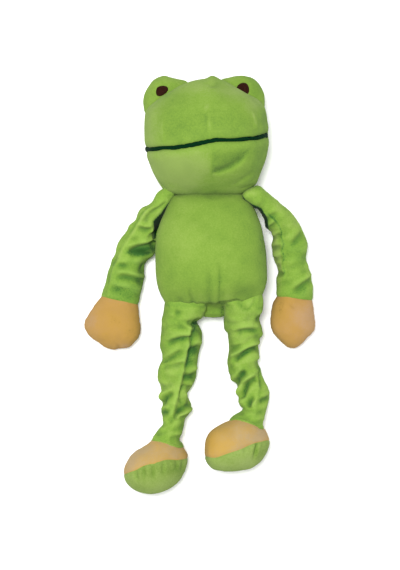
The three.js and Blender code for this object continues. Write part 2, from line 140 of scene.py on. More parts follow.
def to_line(UV, pts):
    """Distance (grid units), share of the way along and side of each point from a polyline."""
    pts = np.asarray(pts, float)
    seg = np.diff(pts, axis=0)
    ln = np.hypot(seg[:, 0], seg[:, 1])
    cum = np.concatenate([[0], np.cumsum(ln)])
    best = np.full(UV.shape[:-1], 1e9)
    at = np.zeros(UV.shape[:-1])
    side = np.zeros(UV.shape[:-1])
    for k in range(len(seg)):
        d = UV - pts[k]
        t = np.clip((d @ seg[k]) / (ln[k] ** 2), 0, 1)
        r = d - t[..., None] * seg[k]
        dist = np.hypot(r[..., 0], r[..., 1])
        m = dist < best
        best = np.where(m, dist, best)
        at = np.where(m, (cum[k] + t * ln[k]) / cum[-1], at)
        cross = seg[k][0] * d[..., 1] - seg[k][1] * d[..., 0]
        side = np.where(m, np.sign(cross), side)
    return best, at, side, cum[-1]


def bend_line(pts, n=14):
    """A smooth curve through layout points."""
    pts = np.asarray(pts, float)
    if len(pts) < 3:
        return pts
    p = np.concatenate([[2 * pts[0] - pts[1]], pts, [2 * pts[-1] - pts[-2]]])
    out = []
    for i in range(1, len(p) - 2):
        for t in np.linspace(0, 1, n, endpoint=False):
            out.append(0.5 * ((2 * p[i]) + (-p[i - 1] + p[i + 1]) * t + (2 * p[i - 1] - 5 * p[i] + 4 * p[i + 1] - p[i + 2]) * t * t + (-p[i - 1] + 3 * p[i] - 3 * p[i + 1] + p[i + 2]) * t**3))
    out.append(p[-2])
    return np.array(out)


def crease(UV, nz, pts, depth, width, puff=0.35, ends=(0.2, 0.2), face=(-0.25, 0.25), lean=0):
    """A fold: a valley along a line of the layout, in mm. With a lean its upper bank (1) or lower bank (-1) is steep."""
    d, t, side, _ = to_line(UV, bend_line(pts, 8))
    d = d * PX
    taper = np.ones_like(d)
    if ends[0] > 0:
        taper *= smooth(0, ends[0], t)
    if ends[1] > 0:
        taper *= smooth(0, ends[1], 1 - t)
    run = pts[-1][0] - pts[0][0]
    steep = side * lean * (-1.0 if run >= 0 else 1.0)
    wide = width * (1 - 0.38 * steep) if lean else width
    core = np.exp(-(np.sqrt(d * d + 0.12) - 0.35) / (0.62 * wide))
    lip = np.exp(-(((d - 1.9 * wide) / (1.0 * wide)) ** 2)) * (1 + 0.45 * steep)
    w = smooth(face[0], face[1], nz)
    return (-depth * core + depth * puff * lip) * taper * w


def ridge_step(UV, nz, pts, up, down, wu, wd, hi, ends=(0.1, 0.1), face=(-0.25, 0.25), soft=0.8):
    """A panel edge standing over its neighbour: raised by up on one side of a line, pressed in by down on the other."""
    d, t, side, _ = to_line(UV, bend_line(pts, 8))
    d = d * PX * side * hi
    taper = np.ones_like(d)
    if ends[0] > 0:
        taper *= smooth(0, ends[0], t)
    if ends[1] > 0:
        taper *= smooth(0, ends[1], 1 - t)
    s = smooth(-soft, soft, d)
    p = up * np.exp(-np.maximum(d, 0) / wu) * s - down * np.exp(-np.maximum(-d, 0) / wd) * (1 - s)
    return p * taper * smooth(face[0], face[1], nz)


class Skin:
    """A closed form as rings of points, pole to pole, with its normals and displacement."""

    def __init__(self, rings, closed=(True, True)):
        self.P = np.asarray(rings, float)  # (m, n, 3)
        self.closed = closed
        self.fold = np.zeros(self.P.shape[:2])
        self.mat = None

    def normals(self):
        P = self.P
        du = np.roll(P, -1, 1) - np.roll(P, 1, 1)
        dv = np.empty_like(P)
        dv[1:-1] = P[2:] - P[:-2]
        dv[0], dv[-1] = P[1] - P[0], P[-1] - P[-2]
        n = np.cross(du, dv)
        c = P.mean(1, keepdims=True)
        s = np.sign(np.sum(n[len(n) // 2] * (P[len(n) // 2] - c[len(n) // 2])))
        n = n * s
        ln = np.linalg.norm(n, axis=-1, keepdims=True)
        n = n / np.maximum(ln, 1e-9)
        if self.closed[0]:
            a = P[0].mean(0) - P[1].mean(0)
            n[0] = n[1] * 0.5 + a / max(np.linalg.norm(a), 1e-9) if np.linalg.norm(P[0] - P[0].mean(0), axis=1).max() < 1e-6 else n[0]
        if self.closed[1]:
            a = P[-1].mean(0) - P[-2].mean(0)
            n[-1] = n[-2] * 0.5 + a / max(np.linalg.norm(a), 1e-9) if np.linalg.norm(P[-1] - P[-1].mean(0), axis=1).max() < 1e-6 else n[-1]
        return n / np.maximum(np.linalg.norm(n, axis=-1, keepdims=True), 1e-9)

    def push(self, d, fold=True):
        self.P = self.P + self.normals() * d[..., None]

    def relax(self, times=1, k=0.5):
        for _ in range(times):
            P = self.P
            q = (np.roll(P, -1, 1) + np.roll(P, 1, 1)) / 2
            r = P.copy()
            r[1:-1] = (P[2:] + P[:-2]) / 2
            new = P + k * ((q + r) / 2 - P)
            new[0], new[-1] = P[0], P[-1]
            self.P = new

    def round_ends(self):
        """Closes a rounded end with two rings that carry its curve on."""
        for shut, (a, b, c, e) in zip(self.closed, ((0, 1, 2, 3), (-1, -2, -3, -4))):
            if shut:
                mid = self.P[c].mean(0)
                rise = mid - self.P[e].mean(0)
                self.P[a] = mid + rise * 0.8 + (self.P[c] - mid) * 0.004
                self.P[b] = mid + rise * 0.6 + (self.P[c] - mid) * 0.5

    def rest_on(self, level=0.25):
        z = self.P[..., 2]
        self.P[..., 2] = np.where(z < level + 1.2, level + 1.2 * np.exp(np.minimum((z - level - 1.2) / 1.2, 0)) * 1.0, z)


def superellipse(phi, p):
    c, s = np.cos(phi), np.sin(phi)
    e = 2.0 / p
    return np.sign(c) * np.abs(c) ** e, np.sign(s) * np.abs(s) ** e


# ------------------------------------------------------------------ meshes
def vertex_normals(V, F):
    n = np.zeros_like(V)
    a, b, c, d = V[F[:, 0]], V[F[:, 1]], V[F[:, 2]], V[F[:, 3]]
    fn = np.cross(c - a, d - b)
    for k in range(4):
        np.add.at(n, F[:, k], fn)
    return n / np.maximum(np.linalg.norm(n, axis=1, keepdims=True), 1e-12)


def grid_mesh(skin):
    """Vertices, quads and per-vertex fold of a skin; a pole is a tiny ring."""
    m, n, _ = skin.P.shape
    V = skin.P.reshape(-1, 3)
    i, j = np.meshgrid(np.arange(m - 1), np.arange(n), indexing="ij")
    k = (j + 1) % n
    F = np.stack([i * n + j, i * n + k, (i + 1) * n + k, (i + 1) * n + j], -1).reshape(-1, 4)
    a, b, c, d = (V[F[:, q]] for q in range(4))
    fn = np.cross(c - a, d - b)
    centre = np.repeat(skin.P.mean(1)[:-1], n, 0)
    mid = (a + b + c + d) / 4
    if np.sum(fn * (mid - centre)) < 0:
        F = F[:, ::-1].copy()
    return V, F, skin.fold.reshape(-1)


MATS = {}


def emit(name, V, F, material, N=None, fold=None, keep=None, nap=None):
    """Makes a mesh object from mm arrays. keep picks faces; unused vertices are dropped."""
    if keep is not None:
        F = F[keep]
    used = np.unique(F)
    remap = np.full(len(V), -1)
    remap[used] = np.arange(len(used))
    V2 = V[used] / 1000.0
    F2 = remap[F]
    me = bpy.data.meshes.new(name)
    faces = []
    for f in F2.tolist():
        g = []
        for q in f:
            if q not in g:
                g.append(q)
        faces.append(g)
    me.from_pydata(V2.tolist(), [], [f for f in faces if len(f) > 2])
    me.polygons.foreach_set("use_smooth", [True] * len(me.polygons))
    a = me.attributes.new("rest_co", "FLOAT_VECTOR", "POINT")
    a.data.foreach_set("vector", V2.astype(np.float32).ravel())
    b = me.attributes.new("fold", "FLOAT", "POINT")
    b.data.foreach_set("value", (np.zeros(len(used)) if fold is None else fold[used]).astype(np.float32))
    c = me.attributes.new("nap", "FLOAT", "POINT")
    c.data.foreach_set("value", (np.zeros(len(used)) if nap is None else nap[used]).astype(np.float32))
    me.update()
    if N is not None:
        me.normals_split_custom_set_from_vertices([tuple(x) for x in N[used]])
    ob = bpy.data.objects.new(name, me)
    bpy.context.scene.collection.objects.link(ob)
    me.materials.append(MATS[material])
    return ob


# ------------------------------------------------------------------ materials
def nodes_of(name):
    m = bpy.data.materials.new(name)
    m.use_nodes = True
    nt = m.node_tree
    nt.nodes.clear()
    out = nt.nodes.new("ShaderNodeOutputMaterial")
    bs = nt.nodes.new("ShaderNodeBsdfPrincipled")
    nt.links.new(bs.outputs[0], out.inputs[0])
    return m, nt, bs


def srgb(r, g, b):
    f = lambda c: c / 12.92 if c <= 0.04045 else ((c + 0.055) / 1.055) ** 2.4
    return (f(r / 255), f(g / 255), f(b / 255), 1)


def co_node(nt, attribute=True):
    if attribute:
        a = nt.nodes.new("ShaderNodeAttribute")
        a.attribute_name = "rest_co"
        return a.outputs["Vector"]
    return nt.nodes.new("ShaderNodeTexCoord").outputs["Object"]


def noise_node(nt, co, scale, detail=2.0, rough=0.5, stretch=None):
    n = nt.nodes.new("ShaderNodeTexNoise")
    n.inputs["Scale"].default_value = scale
    n.inputs["Detail"].default_value = detail
    n.inputs["Roughness"].default_value = rough
    if stretch:
        mp = nt.nodes.new("ShaderNodeMapping")
        mp.inputs["Scale"].default_value = stretch
        nt.links.new(co, mp.inputs["Vector"])
        co = mp.outputs[0]
    nt.links.new(co, n.inputs["Vector"])
    return n.outputs["Fac"]


def ramp(nt, fac, stops):
    r = nt.nodes.new("ShaderNodeValToRGB")
    e = r.color_ramp.elements
    e[0].position, e[0].color = stops[0]
    e[1].position, e[1].color = stops[-1]
    for pos, col in stops[1:-1]:
        k = e.new(pos)
        k.color = col
    nt.links.new(fac, r.inputs[0])
    return r.outputs[0]


def mix(nt, fac, a, b, kind="MIX"):
    m = nt.nodes.new("ShaderNodeMix")
    m.data_type = "RGBA"
    m.blend_type = kind
    for s, v in ((m.inputs[0], fac), (m.inputs[6], a), (m.inputs[7], b)):
        if isinstance(v, (int, float)):
            s.default_value = v
        elif isinstance(v, tuple):
            s.default_value = v
        else:
            nt.links.new(v, s)
    return m.outputs[2]


def maths(nt, op, a, b=0.0, c=None):
    m = nt.nodes.new("ShaderNodeMath")
    m.operation = op
    for s, v in zip(m.inputs, (a, b, c)):
        if v is None:
            continue
        if isinstance(v, (int, float)):
            s.default_value = v
        else:
            nt.links.new(v, s)
    return m.outputs[0]


def value_of(nt, name):
    a = nt.nodes.new("ShaderNodeAttribute")
    a.attribute_name = name
    return a.outputs["Fac"]


def plus(nt, total, value, factor, centre=0.5):
    """total + (value - centre) * factor"""
    return maths(nt, "ADD", total, maths(nt, "MULTIPLY", maths(nt, "SUBTRACT", value, centre), factor))


def plush(name, base, pale, dark, deep, lit, grain=1.0, sheen=0.05, tint=(0.95, 1, 0.85, 1), crest=0.35, crevice_shadow=None):
    """Short-pile velour: soft patches where the pile lies one way or the other, mixed with painted light and shade from
    a per-point attribute; fine grain; painted shade in fold valleys, a painted highlight on fold crests, and a
    near-black painted shadow in crevices.
    """
    m, nt, bs = nodes_of(name)
    co = co_node(nt)
    broad = noise_node(nt, co, 42, 2.0, 0.5)
    patch = noise_node(nt, co, 135, 3.0, 0.55)
    clump = noise_node(nt, co, 560, 2.0, 0.6)
    fibre = noise_node(nt, co, 1500, 2.0, 0.6)
    # the attribute carries the pile lie together with painted light and shade; the ramp runs from the painted-shade
    # colour through base to pale
    v = plus(nt, maths(nt, "MULTIPLY_ADD", value_of(nt, "nap"), 0.32, 0.52), broad, 0.4)
    v = plus(nt, v, patch, 0.3)
    v = plus(nt, v, clump, 0.5 * grain)
    v = plus(nt, v, fibre, 0.7 * grain)
    col = ramp(nt, v, [(0.0, deep), (0.2, dark), (0.52, base), (0.88, pale)])
    fold = value_of(nt, "fold")
    # painted shade: fold valleys are mixed towards the darkest colour
    col = mix(nt, maths(nt, "MULTIPLY", maths(nt, "MAXIMUM", fold, 0.0), 0.95), col, deep)
    # painted highlight: fold crests are mixed towards the lit colour
    col = mix(nt, maths(nt, "MULTIPLY", maths(nt, "MAXIMUM", maths(nt, "MULTIPLY", fold, -1.0), 0.0), crest), col, lit)
    # painted shadow: near-black where the attribute is lowest, in the crevices between parts
    if crevice_shadow:
        shadow_share = maths(nt, "MAXIMUM", maths(nt, "MULTIPLY_ADD", value_of(nt, "nap"), -0.7, -1.15), 0.0)
        col = mix(nt, maths(nt, "MINIMUM", shadow_share, 1.0), col, crevice_shadow)
    nt.links.new(col, bs.inputs["Base Color"])
    bs.inputs["Roughness"].default_value = 1.0
    bs.inputs["Specular IOR Level"].default_value = 0.0
    bs.inputs["Sheen Weight"].default_value = sheen
    bs.inputs["Sheen Roughness"].default_value = 0.6
    bs.inputs["Sheen Tint"].default_value = tint
    b1 = nt.nodes.new("ShaderNodeBump")
    b1.inputs["Strength"].default_value = 0.3 * grain
    b1.inputs["Distance"].default_value = 0.0006
    nt.links.new(clump, b1.inputs["Height"])
    b2 = nt.nodes.new("ShaderNodeBump")
    b2.inputs["Strength"].default_value = 0.35 * grain
    b2.inputs["Distance"].default_value = 0.00025
    nt.links.new(fibre, b2.inputs["Height"])
    nt.links.new(b1.outputs[0], b2.inputs["Normal"])
    nt.links.new(b2.outputs[0], bs.inputs["Normal"])
    return m


def thread(name, base, light, dark):
    """Satin stitch: parallel threads with a faint gloss."""
    m, nt, bs = nodes_of(name)
    co = co_node(nt)
    w = nt.nodes.new("ShaderNodeTexWave")
    w.wave_type = "BANDS"
    w.bands_direction = "DIAGONAL"
    w.inputs["Scale"].default_value = 560
    w.inputs["Distortion"].default_value = 1.2
    w.inputs["Detail"].default_value = 1.0
    nt.links.new(co, w.inputs["Vector"])
    var = noise_node(nt, co, 300, 2.0, 0.5)
    col = ramp(nt, w.outputs["Fac"], [(0.15, dark), (0.7, base), (1.0, light)])
    col = mix(nt, maths(nt, "MULTIPLY", var, 0.4), col, dark)
    nt.links.new(col, bs.inputs["Base Color"])
    bs.inputs["Roughness"].default_value = 0.8
    bs.inputs["Specular IOR Level"].default_value = 0.04
    b = nt.nodes.new("ShaderNodeBump")
    b.inputs["Strength"].default_value = 0.5
    b.inputs["Distance"].default_value = 0.0003
    nt.links.new(w.outputs["Fac"], b.inputs["Height"])
    nt.links.new(b.outputs[0], bs.inputs["Normal"])
    return m


def fibre_fill(name, base, dark):
    m, nt, bs = nodes_of(name)
    co = co_node(nt, False)
    a = noise_node(nt, co, 150, 6.0, 0.65)
    b = noise_node(nt, co, 900, 3.0, 0.6, (1.0, 0.3, 0.6))
    col = ramp(nt, a, [(0.3, dark), (0.65, base)])
    nt.links.new(col, bs.inputs["Base Color"])
    bs.inputs["Roughness"].default_value = 1.0
    bs.inputs["Sheen Weight"].default_value = 0.6
    bp = nt.nodes.new("ShaderNodeBump")
    bp.inputs["Strength"].default_value = 0.9
    bp.inputs["Distance"].default_value = 0.002
    nt.links.new(maths(nt, "ADD", a, b), bp.inputs["Height"])
    nt.links.new(bp.outputs[0], bs.inputs["Normal"])
    return m


def elastic_tape(name):
    m, nt, bs = nodes_of(name)
    co = co_node(nt, False)
    w = nt.nodes.new("ShaderNodeTexWave")
    w.inputs["Scale"].default_value = 500
    w.inputs["Distortion"].default_value = 0.5
    nt.links.new(co, w.inputs["Vector"])
    col = ramp(nt, w.outputs["Fac"], [(0.2, srgb(200, 196, 182)), (0.8, srgb(236, 232, 220))])
    nt.links.new(col, bs.inputs["Base Color"])
    bs.inputs["Roughness"].default_value = 0.85
    bp = nt.nodes.new("ShaderNodeBump")
    bp.inputs["Strength"].default_value = 0.7
    bp.inputs["Distance"].default_value = 0.0004
    nt.links.new(w.outputs["Fac"], bp.inputs["Height"])
    nt.links.new(bp.outputs[0], bs.inputs["Normal"])
    return m


# each plush: base, pale and dark colours, then a painted-shade colour for fold valleys and the darkest patches and a
# painted-highlight colour for fold crests; green and sleeve plush also get a near-black painted shadow for crevices
MATS["green"] = plush("green_plush", srgb(106, 135, 51), srgb(119, 144, 63), srgb(93, 123, 47), srgb(57, 83, 35), srgb(121, 149, 63), crevice_shadow=srgb(3, 36, 9))
# the sleeves: a little lighter, with darker painted shade in fold valleys and stronger painted highlights on crests
MATS["limb"] = plush("limb_plush", srgb(110, 141, 53), srgb(128, 152, 73), srgb(90, 125, 47), srgb(50, 88, 37), srgb(139, 168, 79), crest=0.7, crevice_shadow=srgb(3, 36, 9))
MATS["head"] = plush("head_plush", srgb(106, 135, 51), srgb(120, 142, 71), srgb(88, 118, 46), srgb(57, 83, 35), srgb(121, 145, 66), grain=0.85)
MATS["tan"] = plush("tan_plush", srgb(155, 122, 68), srgb(154, 125, 90), srgb(155, 122, 59), srgb(119, 97, 50), srgb(166, 135, 83), grain=0.6, tint=(1, 0.95, 0.85, 1))
MATS["foot"] = plush("foot_plush", srgb(161, 132, 73), srgb(155, 134, 97), srgb(166, 133, 61), srgb(125, 99, 52), srgb(168, 141, 90), grain=0.6, tint=(1, 0.95, 0.85, 1))
MATS["sole"] = plush("sole_plush", srgb(119, 140, 69), srgb(132, 150, 84), srgb(101, 125, 52), srgb(79, 112, 39), srgb(134, 154, 84))
MATS["mouth"] = thread("dark_green_thread", srgb(2, 39, 17), srgb(6, 55, 28), srgb(0, 22, 8))
MATS["eye"] = thread("brown_thread", srgb(46, 22, 13), srgb(59, 33, 22), srgb(28, 11, 6))
MATS["filling"] = fibre_fill("polyester_fibre", srgb(240, 238, 230), srgb(206, 204, 196))
MATS["elastic"] = elastic_tape("elastic_tape")

BACK_FACE = (-0.3, 0.1)


# ------------------------------------------------------------------ cloth
def settle(V, F, rest, pin, pressure=2.5, frames=16, bend=0.35, stiff=16.0, cap=2.5):
    """Lets a cover puff and pucker as cloth between its held lines; rest gives the cut size of its fabric."""
    k = 0.01
    me = bpy.data.meshes.new("settling")
    faces = []
    for f in F.tolist():
        g = []
        for q in f:
            if q not in g:
                g.append(q)
        faces.append(g)
    me.from_pydata((V * k).tolist(), [], faces)
    ob = bpy.data.objects.new("settling", me)
    bpy.context.scene.collection.objects.link(ob)
    ob.shape_key_add(name="Basis", from_mix=False)
    key = ob.shape_key_add(name="cut", from_mix=False)
    key.data.foreach_set("co", (rest * k).astype(np.float32).ravel())
    key.value = 0.0
    vg = ob.vertex_groups.new(name="held")
    vg.add(np.nonzero(pin)[0].tolist(), 1.0, "REPLACE")
    mod = ob.modifiers.new("cloth", "CLOTH")
    st = mod.settings
    st.quality = 6
    st.mass = 0.3
    st.tension_stiffness = st.compression_stiffness = stiff
    st.shear_stiffness = stiff * 0.35
    st.bending_stiffness = bend
    st.use_pressure = True
    st.uniform_pressure_force = pressure
    st.vertex_group_mass = "held"
    st.rest_shape_key = key
    st.effector_weights.gravity = 0
    mod.collision_settings.use_collision = False
    mod.collision_settings.use_self_collision = False
    mod.point_cache.frame_start, mod.point_cache.frame_end = 1, frames
    sc = bpy.context.scene
    for f in range(1, frames + 1):
        sc.frame_set(f)
    ev = ob.evaluated_get(bpy.context.evaluated_depsgraph_get())
    m2 = ev.to_mesh()
    out = np.empty(len(V) * 3, np.float32)
    m2.vertices.foreach_get("co", out)
    ev.to_mesh_clear()
    bpy.data.objects.remove(ob)
    bpy.data.meshes.remove(me)
    sc.frame_set(1)
    D = out.reshape(-1, 3) / k - V
    if not np.isfinite(D).all():
        print("cloth left out: it did not settle")
        return V
    ln = np.linalg.norm(D, axis=1, keepdims=True)
    print("cloth", len(V), "points, moved", round(float(ln.mean()), 2), "mm, most", round(float(ln.max()), 2))
    return V + D * np.minimum(1, cap / np.maximum(ln, 1e-9))


def cut_longer(P, axis, along, across):
    """The fabric's own size: the form made longer along an axis and wider across it."""
    a = np.asarray(axis, float)
    a = a / np.linalg.norm(a)
    c = P.reshape(-1, 3).mean(0)
    q = P - c
    d = (q @ a)[..., None] * a
    return c + d * along + (q - d) * across


def puff(sk, pin, axis=(0, 1, 0), along=1.1, across=1.03, base=None, **kw):
    """Runs the cloth on a skin and puts the result back into its rings."""
    sk.round_ends()
    V, F, _ = grid_mesh(sk)
    rest = cut_longer(sk.P if base is None else base, axis, along, across).reshape(-1, 3)
    hold = pin.copy()
    hold[:3] = True
    hold[-3:] = True
    out = settle(V, F, rest, hold.reshape(-1), **kw)
    sk.P = out.reshape(sk.P.shape)
    sk.round_ends()


def room(sk, at, reach, depth):
    """A shallow dip that leaves room for a neighbour when a joint moves."""
    far = np.sum(((sk.P - np.array(at)) / np.array(reach)) ** 2, -1)
    sk.P = sk.P - sk.normals() * (depth * np.exp(-far))[..., None]


def hollow(sk, base, times=26, scale=2.0):
    """How deep each point lies in a fold, -1 on a crest to 1 in a valley, apart from the form's own roundness."""
    def bow(P):
        s = Skin(P, sk.closed)
        n = s.normals()
        b = Skin(P.copy(), sk.closed)
        b.relax(times, 0.9)
        return np.sum((b.P - P) * n, -1)
    f = (bow(sk.P) - bow(base)) / scale
    for _ in range(2):
        f = (np.roll(f, 1, 1) + np.roll(f, -1, 1) + 2 * f) / 4
        f[1:-1] = (f[2:] + f[:-2] + 2 * f[1:-1]) / 4
    return np.clip(f, -1, 1)


def nap_shading_at(UV, P, blobs, seed, rough=0.22):
    """Which way the pile lies, and painted light and shade: the noise varies the pile at random, the listed blobs paint
    patches that are mostly light and shade; above 0 pale and dull, below 0 dark.
    """
    v = rough * noise(P, 26, seed) + 0.5 * rough * noise(P, 9, seed + 1)
    for u0, v0, ru, rv, w in blobs:
        v = v + w * np.exp(-(((UV[..., 0] - u0) / ru) ** 2) - ((UV[..., 1] - v0) / rv) ** 2)
    return np.clip(v, -1.5, 1.3)


def pile_shading_line(UV, pts, width, amount, ends=(0.3, 0.3)):
    """A line along a seam or fold where the pile is pressed or parted, carrying painted shade (amount below 0) and
    painted highlight (above 0): what it adds to the attribute.
    """
    q, t, _, _ = to_line(UV, bend_line(pts, 6))
    return amount * np.exp(-((q / width) ** 2)) * smooth(0, ends[0], t) * smooth(0, ends[1], 1 - t)


def inside(UV, outline, soft):
    """How far into a closed outline of the layout each point lies: 0 outside, 1 past its soft edge."""
    ring = np.asarray(list(outline) + [outline[0]], float)
    q, _, _, _ = to_line(UV, ring)
    odd = np.zeros(UV.shape[:-1], bool)
    for (x1, y1), (x2, y2) in zip(ring[:-1], ring[1:]):
        if y1 != y2:
            odd ^= ((y1 > UV[..., 1]) != (y2 > UV[..., 1])) & (UV[..., 0] < (x2 - x1) * (UV[..., 1] - y1) / (y2 - y1) + x1)
    return smooth(-soft, soft, np.where(odd, q, -q))


# the deep gap between the right arm and the body, carved into the sleeve and painted as near-black shadow; the painted
# shadow under the right arm's big fold; and the painted shade on the underside of the left arm beside the body
GAP = [[174.8, 197.4], [168.2, 206.4], [163.8, 214.6], [161.6, 222.3], [159.4, 228.5], [157.8, 235], [157, 240], [156.2, 240], [156, 234], [155.4, 227.6], [153.8, 221.4], [156.4, 218.2], [160.4, 214.2], [164.8, 208.4], [170, 201.8]]
UNDER = [[125.6, 252.6], [130, 249.4], [139, 247], [150, 245.2], [157.4, 243.6], [157.4, 249], [152, 253], [144, 256], [136, 256.2], [129, 255]]
SHADE = [[241.6, 193.6], [246, 199.8], [251, 203.4], [256, 205.4], [261.4, 208], [265, 212.4], [267.4, 218.4], [268.6, 225], [268.8, 230.6], [264.5, 231.4], [262, 222], [258, 212.6], [252, 209], [246, 205], [240.6, 199]]


def stuffing(name, sk, body_fn, node, keep=None, inset=3.2, every=(3, 3), material="filling"):
    """The filling under a cover: the same form, smoother and smaller."""
    s = Skin(sk.P.copy(), sk.closed)
    s.relax(5, 0.8)
    n = s.normals()
    s.P = s.P - n * inset
    s.P[..., 2] = np.maximum(s.P[..., 2], 2.2)
    m = s.P.shape[0]
    rows = list(range(0, m, every[0]))
    if rows[-1] != m - 1:
        rows.append(m - 1)
    q = Skin(s.P[rows][:, :: every[1]], sk.closed)
    V, F, _ = grid_mesh(q)
    ob = emit(name, V, F, material, None, None)
    body_fn(ob)
    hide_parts(node)
    return ob


# ------------------------------------------------------------------ upright forms: head and body
def upright(rows, power, n, step):
    """Rings across Y. rows: [v, u left, u right, z top, z middle, z bottom], layout units and mm, closed at both ends."""
    rows = np.asarray(rows, float)
    v = rows[:, 0]
    w = (rows[:, 2] - rows[:, 1]) / 2
    way = np.concatenate([[0], np.cumsum(np.hypot(np.hypot(np.diff(v), np.diff(w)) * PX, np.diff(rows[:, 3])))])
    m = max(int(way[-1] / step), 12)
    R = pchip(way, rows, np.linspace(0, way[-1], m))
    phi = np.linspace(0, 2 * np.pi, n, endpoint=False)
    c, s = superellipse(phi, power)
    rings = []
    for vv, ul, ur, zt, ze, zb in R:
        z = np.where(s > 0, ze + s * (zt - ze), ze + s * (ze - zb))
        ctr, hw = (ul + ur) / 2, (ur - ul) / 2
        zz = np.maximum(z, ze)
        p = G(ctr + c * hw, np.full(n, vv), zz)
        p[:, 2] = z
        rings.append(p)
    for at, where in ((0, 0), (-1, len(rings))):
        mid = rings[at].mean(0)
        close = [mid + (rings[at] - mid) * f for f in (0.004, 0.5)]
        rings = close + rings if where == 0 else rings + close[::-1]
    return Skin(rings)


HEAD = [
    # v, u left, u right, z top, z middle, z bottom
    [77.6, 206, 211, 58, 55, 53], [78.3, 200, 215.5, 64, 54, 46], [79.3, 195, 219.5, 68, 53, 40], [80.6, 189.5, 224, 71.5, 52, 34], [82.2, 185, 228.3, 74.5, 51, 28],
    [84.5, 180.6, 232.4, 78, 50, 23], [87, 176.6, 236.5, 80.8, 50, 18], [90, 172, 241.6, 83.2, 49, 14], [94, 166.2, 248.6, 85.8, 49, 10], [98, 160, 255.8, 87.8, 48, 7],
    [102, 154.8, 261.2, 89.4, 48, 5], [106, 150.2, 264.3, 90.8, 48, 3], [112, 146.3, 266.4, 92.4, 48, 1], [118, 145.3, 267.8, 93.8, 48, 0], [126, 145.1, 268.6, 95.2, 48, 0], [135, 145.3, 269.0, 96.2, 48, -1],
    [143, 146.0, 268.8, 96.4, 48, -1], [150, 146.6, 268.4, 95.4, 48, -1], [158, 148.1, 266.8, 92.6, 47.5, 0], [165, 150.3, 264.3, 88.3, 46.5, 1],
    [172, 153.1, 261, 82.3, 45, 3], [178, 156.4, 258.6, 75.8, 43.5, 7], [184, 159.7, 255.6, 68.2, 41, 12], [188, 162.0, 251.5, 62.6, 39.5, 16],
    [191, 164.2, 247.2, 58, 38.5, 19], [193.2, 168.5, 243.4, 53.5, 37.5, 22], [194.8, 177, 238, 48, 36.8, 26], [195.8, 192, 226, 42, 36.4, 30], [196.4, 206, 211, 38, 36.2, 34],
]
head = upright(HEAD, 2.22, 176, 1.25)
head_base = head.P.copy()
UV = grid_of(head.P)
nz = head.normals()[..., 2]
MOUTH = [[138, 149.0], [147, 149], [156, 148.6], [163, 147.8], [172, 147.6], [181, 146.6], [191, 145], [200, 143.1], [209, 141.1], [219, 139.5], [230, 139.5], [242, 139.0], [252, 138.1], [260, 137.1], [266, 135.1], [274, 134.1]]
d = 0.8 * noise(head.P, 34, 3) + 0.4 * noise(head.P, 15, 5)
d += crease(UV, nz, MOUTH, 2.6, 3.6, 0.36, (0.0, 0.0), (-0.2, 0.1))
d += crease(UV, nz, [[206, 98], [207.6, 110], [209.6, 122], [211.4, 134]], -0.7, 1.2, 0.3, (0.3, 0.1))
d += crease(UV, nz, [[164, 116], [162.5, 130], [164, 143]], -0.6, 1.6, 0.6, (0.35, 0.2))
d += crease(UV, nz, [[252, 108], [255.5, 118], [257, 130]], -0.8, 1.6, 0.9, (0.3, 0.2))
# chin: the panel seam, the dart beside it and the fold that runs round under the lip
CHIN_FOLD = [[252, 147], [248, 153], [243.5, 160], [237, 165.5], [229, 169.8], [220, 172.8], [213, 174]]
CHIN_SEAM = [[210, 149], [210.2, 158], [210.8, 167], [213, 174.5]]
d += ridge_step(UV, nz, CHIN_SEAM, 0.5, 0.9, 6.0, 8.0, 1, (0.35, 0.1))
d += ridge_step(UV, nz, CHIN_FOLD, 1.2, 2.2, 9.0, 8.0, -1, (0.45, 0.1), soft=2.2)
dart, _, _, _ = to_line(UV, [[232, 153], [222, 166]])
d += -1.0 * np.exp(-((dart * PX / 11) ** 2)) * smooth(0, 0.3, nz)
d += crease(UV, nz, [[258, 164], [249, 175], [238, 183], [226, 187.5]], 1.2, 4.8, 0.5, (0.3, 0.3))
d += crease(UV, nz, [[255, 183], [247, 187], [238, 190.5]], 1.2, 2.4, 0.5, (0.2, 0.3))
d += crease(UV, nz, [[180, 188], [194, 191], [207, 190]], 0.7, 3.0, 0.4, (0.3, 0.3))
nrm_ = head.normals()
d += -1.0 * np.exp(-((head.P[..., 2] - 30) / 1.4) ** 2) * smooth(0.3, 0.8, np.hypot(nrm_[..., 0], nrm_[..., 1]))
head.push(d)
# the pinch of fabric where the crown's panels meet
peak = np.exp(-(np.abs((UV[..., 0] - 213) / 4.4) ** 2.2)) * smooth(87, 78, UV[..., 1]) * smooth(30, 50, head.P[..., 2])
head.P[..., 1] += 2.9 * peak
head.P[..., 2] += 1.2 * peak
mouth_d, _, _, _ = to_line(UV, bend_line(MOUTH, 4))
pin = (mouth_d * PX < 1.6) & (nz > -0.2)
for ln_, r_ in ((CHIN_FOLD, 0.6),):
    q_, _, _, _ = to_line(UV, bend_line(ln_, 4))
    pin |= (q_ * PX < r_) & (nz > 0)
pin |= np.abs(head.P[..., 2] - 30) < 0.9
puff(head, pin, along=1.035, across=1.035, pressure=2.0, frames=14, bend=0.8, cap=1.6)
head.relax(1, 0.4)
head.rest_on()
head.fold = hollow(head, head_base)
room(head, (-26.1, 84, 27.8), (11, 7, 10), 2.8)
